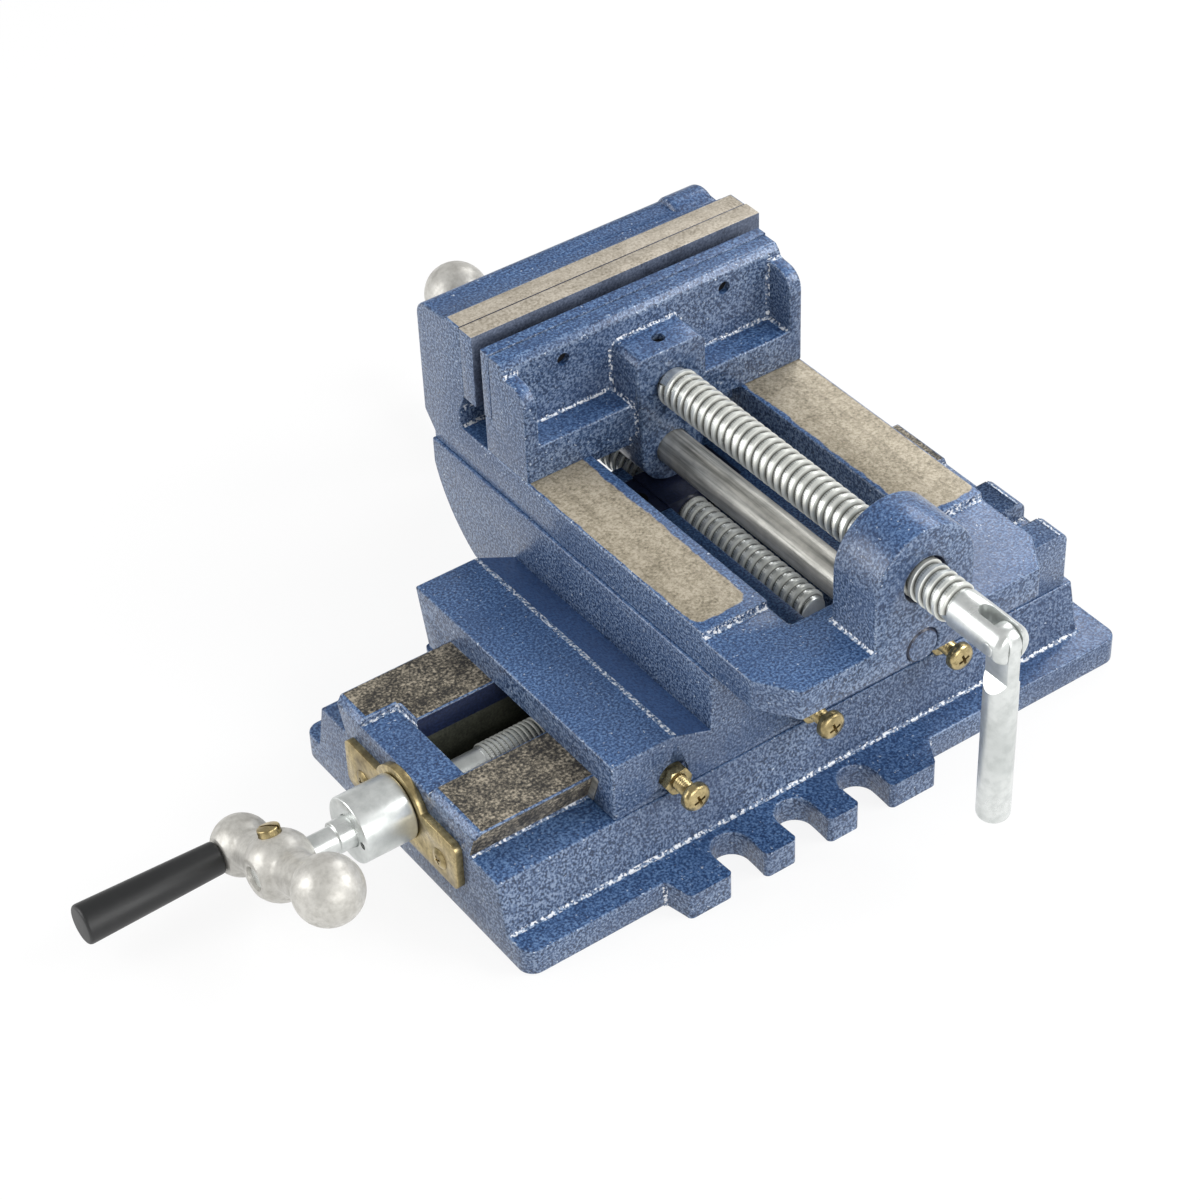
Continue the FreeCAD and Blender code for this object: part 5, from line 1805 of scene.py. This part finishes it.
    def arm_radius(self, place: float) -> float:
        """The crank's radius, from balls and necks run together.

        Args:
            place: A place along the arm, from the hub towards the weight.

        Returns:
            The radius there.
        """
        balls = (
            (-self.grip_arm, self.small_radius),
            (0.0, self.hub_radius),
            (self.weight_arm, self.weight_radius),
        )
        total = 0.0
        for centre, radius in balls:
            inside = radius ** 2 - (place - centre) ** 2
            if inside > 0:
                total += math.sqrt(inside) ** self.blend_power
        if -self.grip_arm < place < self.weight_arm:
            total += (self.grip_neck if place < 0 else self.weight_neck) ** self.blend_power
        return total ** (1 / self.blend_power)

    def build_arm(self) -> None:
        """The three-ball crank, flat at the hub's end and bored for the shaft and spindle."""
        start = -self.grip_arm - self.small_radius
        end = self.weight_arm + self.weight_radius
        middle, half = (start + end) / 2, (end - start) / 2
        outline = []
        for step in range(self.arm_steps + 1):
            place = middle - half * math.cos(math.pi * step / self.arm_steps)
            is_end = step in (0, self.arm_steps)
            outline.append((place, 0.0 if is_end else self.arm_radius(place)))
        arm = turned(lathed(outline), "Z", 90)
        wide = self.hub_radius * 2
        screw_hole = rod_between(0, wide, self.set_screw_radius + self.set_screw_gap, 40)
        cutters = [
            boxed((self.hub_flat, -wide / 2, -wide), (wide, wide / 2, wide)),
            boxed((-wide, -wide / 2, -wide), (-self.hub_flat, wide / 2, wide)),
            boxed((self.grip_flat, -self.grip_arm - wide / 2, -wide),
                  (wide, -self.grip_arm + wide / 2, wide)),
            rod_between(-wide, wide, self.spigot_radius + self.press_gap, 48),
            turned(screw_hole, "Y", -90),
        ]
        arm = bevelled(carved(arm, cutters), self.arm_edge, limit=35.0)
        node = self.prefix + "_crank_arm"
        settled(node + "_cast", self.tilted(arm), self.screw_body, [self.finishes.aluminium],
                (node,), "cast_aluminium", sharp=50.0)

    def build_set_screw(self) -> None:
        """The slotted screw on top of the hub."""
        top = self.hub_radius + self.set_screw_stand
        low = self.spigot_radius + self.set_screw_gap
        radius = self.set_screw_radius
        outline = [(low, 0), (low, radius), (top, radius), (top + self.set_screw_crown, 0)]
        body = lathed(softened(outline, radius=0.7 * MM, steps=4), segments=56)
        past = radius * 1.2
        slot = boxed((top - self.slot_depth, -past, -self.slot_half),
                     (top + 2 * MM, past, self.slot_half))
        screw = carved(body, [turned(slot, "X", self.set_screw_turn)])
        node = self.prefix + "_crank_set_screw"
        settled(node + "_slotted", self.tilted(turned(screw, "Y", -90)), self.screw_body,
                [self.finishes.yellow_zinc], (node,), "yellow_zinc")

    def build_grip(self) -> None:
        """The tapered grip with a rounded end and its blind bore."""
        end = self.grip_start + self.grip_length
        outline = [(self.grip_start, self.grip_bore), (self.grip_start, self.grip_small),
                   (end, self.grip_large), (end, 0)]
        outside = lathed(softened(outline, radius=1.6 * MM, steps=5), segments=80)
        floor = end - self.grip_floor
        inside = lathed([(self.grip_start, self.grip_bore), (floor, self.grip_bore), (floor, 0)],
                        48)
        inside.flip_normals()
        grip = merged([outside, inside])
        grip.transform(Matrix.Translation((0, -self.grip_arm, 0)))
        node = self.prefix + "_grip"
        settled(node + "_moulded", self.tilted(grip), node, [self.finishes.plastic], (node,),
                "black_plastic", sharp=45.0)

    def build_plate(self) -> None:
        """The bearing plate."""
        node = self.prefix + "_bearing_plate"
        settled(node + "_dressed", bevelled(cleaned_copy(node), self.plate_edge), self.plate_body,
                [self.finishes.yellow_zinc], (node,), "yellow_zinc")

    def build_plate_screws(self) -> None:
        """The bearing plate's two cross-recessed screws."""
        head, radius = self.plate_screw_head, self.plate_screw_radius
        crown = self.plate_screw_crown
        outline = [
            (-self.plate_screw_length, 0), (-self.plate_screw_length, radius),
            (radius - head, radius), (0, head), (crown - 0.2 * MM, head * 0.6), (crown, 0),
        ]
        screw = carved(lathed(softened(outline, radius=0.25 * MM), segments=48),
                       cross_recess(head * 1.15, self.plate_screw_recess, crown))
        turned(screw, "X", self.plate_screw_turn)
        side = -self.plate_screw_spacing / 2
        screw.transform(Matrix.Translation((0, side, -self.plate_screw_below)))
        finish = self.finishes.yellow_zinc
        pair = self.threads.copies(screw, 2, (0, self.plate_screw_spacing, 0), finish)
        node = self.prefix + "_plate_screws"
        settled(node + "_recessed", self.laid(pair), self.plate_body, [finish], (node,),
                "yellow_zinc")

    def build(self) -> None:
        """Makes the drive."""
        self.build_screw()
        self.build_collar()
        self.build_arm()
        self.build_set_screw()
        self.build_grip()
        self.build_plate()
        self.build_plate_screws()
        dressed(self.prefix + "_grip_spindle", self.finishes.zinc)


# Gib screws

@dataclass
class GibScrewRow:
    """Three gib screws with lock nuts; their own X axis points out of the casting."""

    prefix: str
    first: Triple
    axis: Axis
    step: Triple
    finishes: Finishes
    threads: Threads
    body: str = "saddle"
    count: int = 3
    tip: float = 9.0 * MM
    radius: float = 3.0 * MM
    stand: float = 15.5 * MM
    head_radius: float = 5.5 * MM
    head_height: float = 4.2 * MM
    head_shoulder: float = 2.0 * MM
    pitch: float = 1.0 * MM
    depth: float = 0.45 * MM
    flank: float = 0.55
    turn_steps: int = 28
    section_points: int = 5
    recess: float = 2.4 * MM
    turn: float = 20.0
    edge: float = 0.3 * MM

    def screw(self) -> bpy.types.Mesh:
        """One screw with a thread and a cross-recessed pan head.

        Returns:
            Its mesh, along its own X axis.
        """
        root, wide = self.radius - self.depth, self.head_radius
        under = self.stand - self.head_height
        head = [
            (under, 0), (under, wide), (self.stand - self.head_shoulder, wide),
            (self.stand - 0.9 * MM, wide * 0.86), (self.stand - 0.2 * MM, wide * 0.5),
            (self.stand, 0),
        ]
        top = carved(lathed(softened(head, radius=0.5 * MM), segments=64),
                     cross_recess(wide * 1.25, self.recess, self.stand))
        shank = rod_between(-self.tip, under + 0.2 * MM, root, 32)
        skin = self.threads.skin(-self.tip, under + 0.6 * MM, self.pitch, self.radius, self.depth,
                                 self.finishes.yellow_zinc, self.flank, self.turn_steps,
                                 self.section_points)
        return turned(merged([top, shank, skin]), "X", self.turn)

    def build(self) -> None:
        """Makes the screws and their lock nuts."""
        finish = self.finishes.yellow_zinc
        first = laid(self.screw(), self.first, self.axis)
        row = self.threads.copies(first, self.count, self.step, finish)
        node = self.prefix + "_gib_screws"
        settled(node + "_threaded", row, self.body, [finish], (node,), "yellow_zinc", sharp=42.0)
        node = self.prefix + "_gib_lock_nuts"
        nuts = bevelled(cleaned_copy(node), self.edge)
        settled(node + "_dressed", nuts, self.body, [finish], (node,), "yellow_zinc")


# Jaws, clamp screw and handle

@dataclass
class Jaws:
    """The jaw plates with their screws, and the guide rod."""

    finishes: Finishes
    edge: float = 0.5 * MM
    rod_radius: float = 7.0 * MM
    rod_ease: float = 0.9 * MM
    work_facing: float = 0.7
    paint_facing: float = 0.6

    def build_plate(self, node: str, body: str, slot: str, is_painted: Callable[[Vector], bool],
                    materials: Sequence[bpy.types.Material]) -> None:
        """One jaw plate with eased edges.

        Args:
            node: The plate's CAD node.
            body: The body that it rides on.
            slot: The record's material slot.
            is_painted: True for the normal of a painted face.
            materials: The materials of the paint, the working face and the other faces.
        """
        mesh = bevelled(cleaned_copy(node), self.edge)
        for polygon in mesh.polygons:
            if is_painted(polygon.normal):
                polygon.material_index = 0
            else:
                is_face = abs(polygon.normal.y) > self.work_facing
                polygon.material_index = 1 if is_face else 2
        settled(node + "_dressed", mesh, body, materials, (node,), slot)

    def build_rod(self) -> None:
        """The guide rod, turned smooth, with a painted front end inside a ring of painted shade."""
        low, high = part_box("guide_rod")
        middle, length = (low + high) / 2, high.y - low.y
        ease, radius = self.rod_ease, self.rod_radius
        rod = lathed([(0, 0), (0, radius - ease), (ease, radius), (length - MM, radius),
                      (length, radius - MM), (length, 0)], 96)
        # The front cap takes the enamel; the eased ring round it takes painted shade.
        for polygon in rod.polygons:
            if polygon.center.x < NEAR:
                polygon.material_index = 1
            elif polygon.center.x < ease:
                polygon.material_index = 2
        rod = laid(rod, (middle.x, low.y, middle.z), Axis.TOWARDS_FIXED_JAW)
        finishes = self.finishes
        settled("guide_rod_turned", rod, "vise_body",
                [finishes.rod_steel, finishes.enamel, finishes.painted_shade_enamel], ("guide_rod",),
                "polished_rod")

    def build(self) -> None:
        """Makes the plates and the rod, and dresses the inner pieces that stay as they are."""
        finishes = self.finishes
        # The working faces take the darkened steel: oxide with painted shade and a painted blue
        # reflection.
        paint, face, steel = finishes.enamel, finishes.jaw_steel_oxide_and_shade, finishes.jaw_steel
        self.build_plate("fixed_jaw_plate", "vise_body", "jaw_steel",
                         lambda normal: abs(normal.x) > self.paint_facing, [paint, face, steel])
        self.build_plate("movable_jaw_plate", "movable_jaw", "oxidised_jaw_steel",
                         lambda normal: normal.y < self.paint_facing, [paint, face, paint])
        self.build_rod()
        for node in ("fixed_jaw_screws", "movable_jaw_screws", "jaw_retaining_screw",
                     "x_nut_screws", "y_nut_screws"):
            dressed(node, finishes.black_steel)
        for axis in ("x", "y"):
            # Painted shade: the nuts deep inside the castings take the dark enamel.
            dressed(axis + "_nut", finishes.painted_shade_enamel)
            dressed(axis + "_gib", finishes.rod_steel)


@dataclass
class Clamp:
    """The clamp screw with its slotted end, the pin and the hanging handle."""

    finishes: Finishes
    threads: Threads
    place: float = 19.6 * MM
    height: float = 110.5 * MM
    shoulder: float = 49.7 * MM
    thread_end: float = -110.6 * MM
    end: float = -136.8 * MM
    radius: float = 8.0 * MM
    depth: float = 1.3 * MM
    pitch: float = 4.0 * MM
    turn_steps: int = 48
    # Dirt and painted shade in the thread's roots.
    dirt_and_shade: Colour = from_screen(58, 56, 50)
    thread_metallic: float = 0.6
    shank_radius: float = 7.5 * MM
    nose_radius: float = 6.0 * MM
    nose_end: float = 64.0 * MM
    slot_width: float = 6.0 * MM
    slot_start: float = -122.5 * MM
    slot_edge: float = 0.35 * MM
    pin_place: float = -131.2 * MM
    pin_radius: float = 2.5 * MM
    pin_stand: float = 0.1 * MM
    pin_crown: float = 0.2 * MM
    handle_radius: float = 6.1 * MM
    handle_length: float = 78.5 * MM
    tang: float = 2.6 * MM
    tang_length: float = 15.0 * MM
    shoulder_length: float = 6.0 * MM
    milled_edge: float = 0.4 * MM

    def core(self) -> bpy.types.Mesh:
        """The turned core, with the slot that takes the handle.

        Returns:
            Its mesh, along its own X axis.
        """
        root, shank = self.radius - self.depth, self.shank_radius
        outline = [
            (self.end, 0), (self.end, shank - 2.6 * MM), (self.end + 0.8 * MM, shank - 0.9 * MM),
            (self.end + 2.8 * MM, shank), (self.thread_end, shank),
            (self.thread_end + 0.3 * MM, root), (self.shoulder - 0.4 * MM, root),
            (self.shoulder, root - 0.4 * MM), (self.shoulder, self.nose_radius),
            (self.nose_end, self.nose_radius), (self.nose_end, 0),
        ]
        body = lathed(softened(outline, radius=0.7 * MM, steps=4), segments=80)
        half, reach = self.slot_width / 2, shank * 2
        slot = boxed((self.end - MM, -half, -reach), (self.slot_start, half, reach))
        round_end = turned(rod_between(-reach, reach, half, 48), "Y", 90)
        round_end.transform(Matrix.Translation((self.slot_start, 0, 0)))
        return bevelled(carved(body, [slot, round_end]), self.slot_edge, limit=40.0)

    def build_screw(self) -> None:
        """The clamp screw: its core and thread."""
        axis, origin = Axis.TOWARDS_FIXED_JAW, (self.place, 0, self.height)
        body = self.core()
        finish = self.finishes.threaded("clamp_thread_zinc", origin, axis, self.radius - self.depth,
                                        self.radius, self.dirt_and_shade, self.thread_metallic)
        skin = self.threads.skin(self.thread_end, self.shoulder, self.pitch, self.radius,
                                 self.depth, finish, steps=self.turn_steps)
        whole = laid(merged([body, with_material(skin, 1)]), origin, axis)
        settled("clamp_screw_threaded", whole, "clamp_screw", [self.finishes.zinc, finish],
                ("clamp_screw",), "bright_zinc", sharp=30.0)

    def build_pin(self) -> None:
        """The cross pin that the handle swings on."""
        half = self.shank_radius + self.pin_stand
        outline = [(-half - self.pin_crown, 0), (-half, self.pin_radius), (half, self.pin_radius),
                   (half + self.pin_crown, 0)]
        pin = lathed(softened(outline, radius=0.4 * MM), segments=40)
        settled("handle_pin_turned", laid(pin, (self.place, self.pin_place, self.height)),
                "clamp_screw", [self.finishes.zinc], ("handle_pin",), "bright_zinc")

    def cheek(self, side: int) -> bpy.types.Mesh:
        """The cutter that mills one side of the handle's tang.

        Args:
            side: -1 or 1.

        Returns:
            A closed mesh.
        """
        wide, outer = self.handle_radius * 2, self.handle_radius + MM
        points = [
            (wide, self.tang), (-self.tang_length, self.tang),
            (-self.tang_length - self.shoulder_length, outer), (wide, outer),
        ]
        shape = bmesh.new()
        near, far = ([shape.verts.new((x, side * y, z)) for x, y in points] for z in (-wide, wide))
        shape.faces.new(near)
        shape.faces.new(far)
        for index in range(len(points)):
            after = (index + 1) % len(points)
            shape.faces.new((near[index], near[after], far[after], far[index]))
        bmesh.ops.recalc_face_normals(shape, faces=shape.faces)
        return as_mesh(shape, "cheek")

    def build_handle(self) -> None:
        """The hanging rod, milled to a tang that swings on the pin."""
        radius = self.handle_radius
        outline = [(-self.handle_length, 0), (-self.handle_length, radius), (0, radius), (0, 0)]
        rod = lathed(softened(outline, radius=2.4 * MM, steps=6), segments=80)
        rod = bevelled(carved(rod, [self.cheek(-1), self.cheek(1)]), self.milled_edge, limit=35.0)
        disc = turned(rod_between(-self.tang, self.tang, radius, 64), "Z", 90)
        whole = merged([rod, bevelled(disc, self.milled_edge, limit=35.0)])
        whole = turned(laid(whole, (0, 0, 0), Axis.UP), "Z", 90)
        whole.transform(Matrix.Translation((self.place, self.pin_place, self.height)))
        settled("handle_bar_milled", whole, "handle_bar", [self.finishes.zinc], ("handle_bar",),
                "bright_zinc", sharp=45.0)

    def build(self) -> None:
        """Makes the clamp screw, its pin and the handle."""
        self.build_screw()
        self.build_pin()
        self.build_handle()


# Studio

@dataclass(frozen=True)
class Lamp:
    """A soft square lamp that looks at the vise."""

    name: str
    place: Triple
    size: float
    power: float


@dataclass
class Studio:
    """The photograph's camera, a pale floor and soft light."""

    azimuth: float = -34.01
    elevation: float = 40.15
    roll: float = -2.585
    focal_pixels: float = 3091.0
    frame_pixels: float = 1200.0
    sensor: float = 36.0
    eye: Triple = (-0.5129, -0.6861, 0.7748)
    nearest: float = 0.05
    farthest: float = 50.0
    floor_size: float = 6.0
    floor_tone: float = 0.9
    floor_glow: float = 0.86
    world_light: float = 0.52
    aim: Triple = (0.0, 0.0, 0.06)
    lamps: tuple[Lamp, ...] = (
        Lamp("key_lamp", (0.95, -0.75, 0.95), 0.8, 14.0),
        Lamp("left_lamp", (-1.0, 0.5, 0.5), 0.8, 8.0),
        Lamp("front_lamp", (-0.2, -1.2, 0.5), 0.8, 9.0),
        Lamp("rim_lamp", (0.85, 0.42, 0.8), 0.5, 3.6),
    )

    def build_camera(self) -> None:
        """The camera at the photograph's place and angle."""
        a, e, r = (math.radians(x) for x in (self.azimuth, self.elevation, self.roll))
        back = Vector((math.sin(a) * math.cos(e), -math.cos(a) * math.cos(e), math.sin(e)))
        right = Vector((0, 0, 1)).cross(back).normalized()
        up = back.cross(right)
        right, up = right * math.cos(r) + up * math.sin(r), up * math.cos(r) - right * math.sin(r)
        data = bpy.data.cameras.new("camera")
        data.sensor_width = self.sensor
        data.lens = self.focal_pixels / self.frame_pixels * self.sensor
        data.clip_start, data.clip_end = self.nearest, self.farthest
        camera = linked("camera", data)
        turn = Matrix((right, up, back)).transposed().to_4x4()
        camera.matrix_world = Matrix.Translation(self.eye) @ turn
        bpy.context.scene.camera = camera

    def floor_material(self) -> bpy.types.Material:
        """A pale floor that shows near white to the camera and in reflections.

        Returns:
            The material.
        """
        material = bpy.data.materials.new("pale_floor")
        material.use_nodes = True
        nodes, links = material.node_tree.nodes, material.node_tree.links
        shader, tone = nodes["Principled BSDF"], self.floor_tone
        shader.inputs["Base Color"].default_value = (tone, tone, tone, 1)
        shader.inputs["Roughness"].default_value = 0.9
        glow = nodes.new("ShaderNodeEmission")
        glow.inputs["Color"].default_value = (1, 1, 1, 1)
        rays = nodes.new("ShaderNodeLightPath")
        seen = nodes.new("ShaderNodeMath")
        seen.operation = "MAXIMUM"
        share = nodes.new("ShaderNodeMath")
        share.operation = "MULTIPLY"
        share.inputs[1].default_value = self.floor_glow
        mix = nodes.new("ShaderNodeMixShader")
        links.new(rays.outputs["Is Camera Ray"], seen.inputs[0])
        links.new(rays.outputs["Is Glossy Ray"], seen.inputs[1])
        links.new(seen.outputs[0], share.inputs[0])
        links.new(share.outputs[0], mix.inputs[0])
        links.new(shader.outputs[0], mix.inputs[1])
        links.new(glow.outputs[0], mix.inputs[2])
        links.new(mix.outputs[0], nodes["Material Output"].inputs["Surface"])
        return material

    def build_floor(self) -> None:
        """A wide floor that keeps a faint shadow."""
        shape = bmesh.new()
        bmesh.ops.create_grid(shape, x_segments=1, y_segments=1, size=self.floor_size)
        mesh = as_mesh(shape, "floor")
        mesh.materials.append(self.floor_material())
        linked("floor", mesh)

    def build_world(self) -> None:
        """A world that lights softly and shows white to the camera."""
        world = bpy.data.worlds.new("studio")
        world.use_nodes = True
        tree = world.node_tree
        rays = tree.nodes.new("ShaderNodeLightPath")
        strength = tree.nodes.new("ShaderNodeMapRange")
        strength.inputs["To Min"].default_value = self.world_light
        strength.inputs["To Max"].default_value = 1.0
        tree.links.new(rays.outputs["Is Camera Ray"], strength.inputs["Value"])
        background = tree.nodes["Background"]
        background.inputs["Color"].default_value = (1, 1, 1, 1)
        tree.links.new(strength.outputs["Result"], background.inputs["Strength"])
        bpy.context.scene.world = world

    def build_lamps(self) -> None:
        """The soft lamps, turned to the vise."""
        for lamp in self.lamps:
            data = bpy.data.lights.new(lamp.name, "AREA")
            data.size = lamp.size
            data.energy = lamp.power
            made = linked(lamp.name, data)
            made.location = lamp.place
            away = Vector(lamp.place) - Vector(self.aim)
            made.rotation_euler = away.to_track_quat("Z", "Y").to_euler()

    def build(self) -> None:
        """Makes the camera, the floor and the light."""
        self.build_camera()
        self.build_floor()
        self.build_world()
        self.build_lamps()
        bpy.context.scene.view_settings.view_transform = "Standard"


def main() -> None:
    """Builds the vise piece by piece, then the studio."""
    logging.basicConfig(level=logging.INFO, format="%(message)s")
    finishes = Finishes()
    threads = Threads()
    BaseCasting("base_casting", "base", finishes).build()
    SaddleCasting("saddle_casting", "saddle", finishes).build()
    ViseBodyCasting("vise_body_casting", "vise_body", finishes).build()
    Casting("movable_jaw_casting", "movable_jaw", finishes).build()
    FeedDrive(
        "x", "x_screw", "base", origin=(-138.0 * MM, 0, 29.0 * MM), axis=Axis.TOWARDS_CRANK,
        crank_angle=24.0, thread_far=-242.0 * MM, thread_near=-34.5 * MM,
        plate_screw_spacing=49.0 * MM, finishes=finishes, threads=threads,
        pitch=2.0 * MM, thread_depth=0.8 * MM,
    ).build()
    FeedDrive(
        "y", "y_screw", "vise_body", origin=(19.6 * MM, 123.3 * MM, 57.0 * MM),
        axis=Axis.TOWARDS_FIXED_JAW, crank_angle=66.3, thread_far=-156.3 * MM,
        thread_near=-26.0 * MM, plate_screw_spacing=37.0 * MM, finishes=finishes, threads=threads,
    ).build()
    GibScrewRow("x", (-60.7 * MM, -56.2 * MM, 40.0 * MM), Axis.TOWARDS_HANDLE,
                (59.3 * MM, 0, 0), finishes, threads).build()
    GibScrewRow("y", (81.0 * MM, -15.0 * MM, 70.4 * MM), Axis.TOWARDS_FAR_END,
                (0, 57.0 * MM, 0), finishes, threads).build()
    Jaws(finishes).build()
    Clamp(finishes, threads).build()
    Studio().build()


if __name__ == "__main__":
    main()
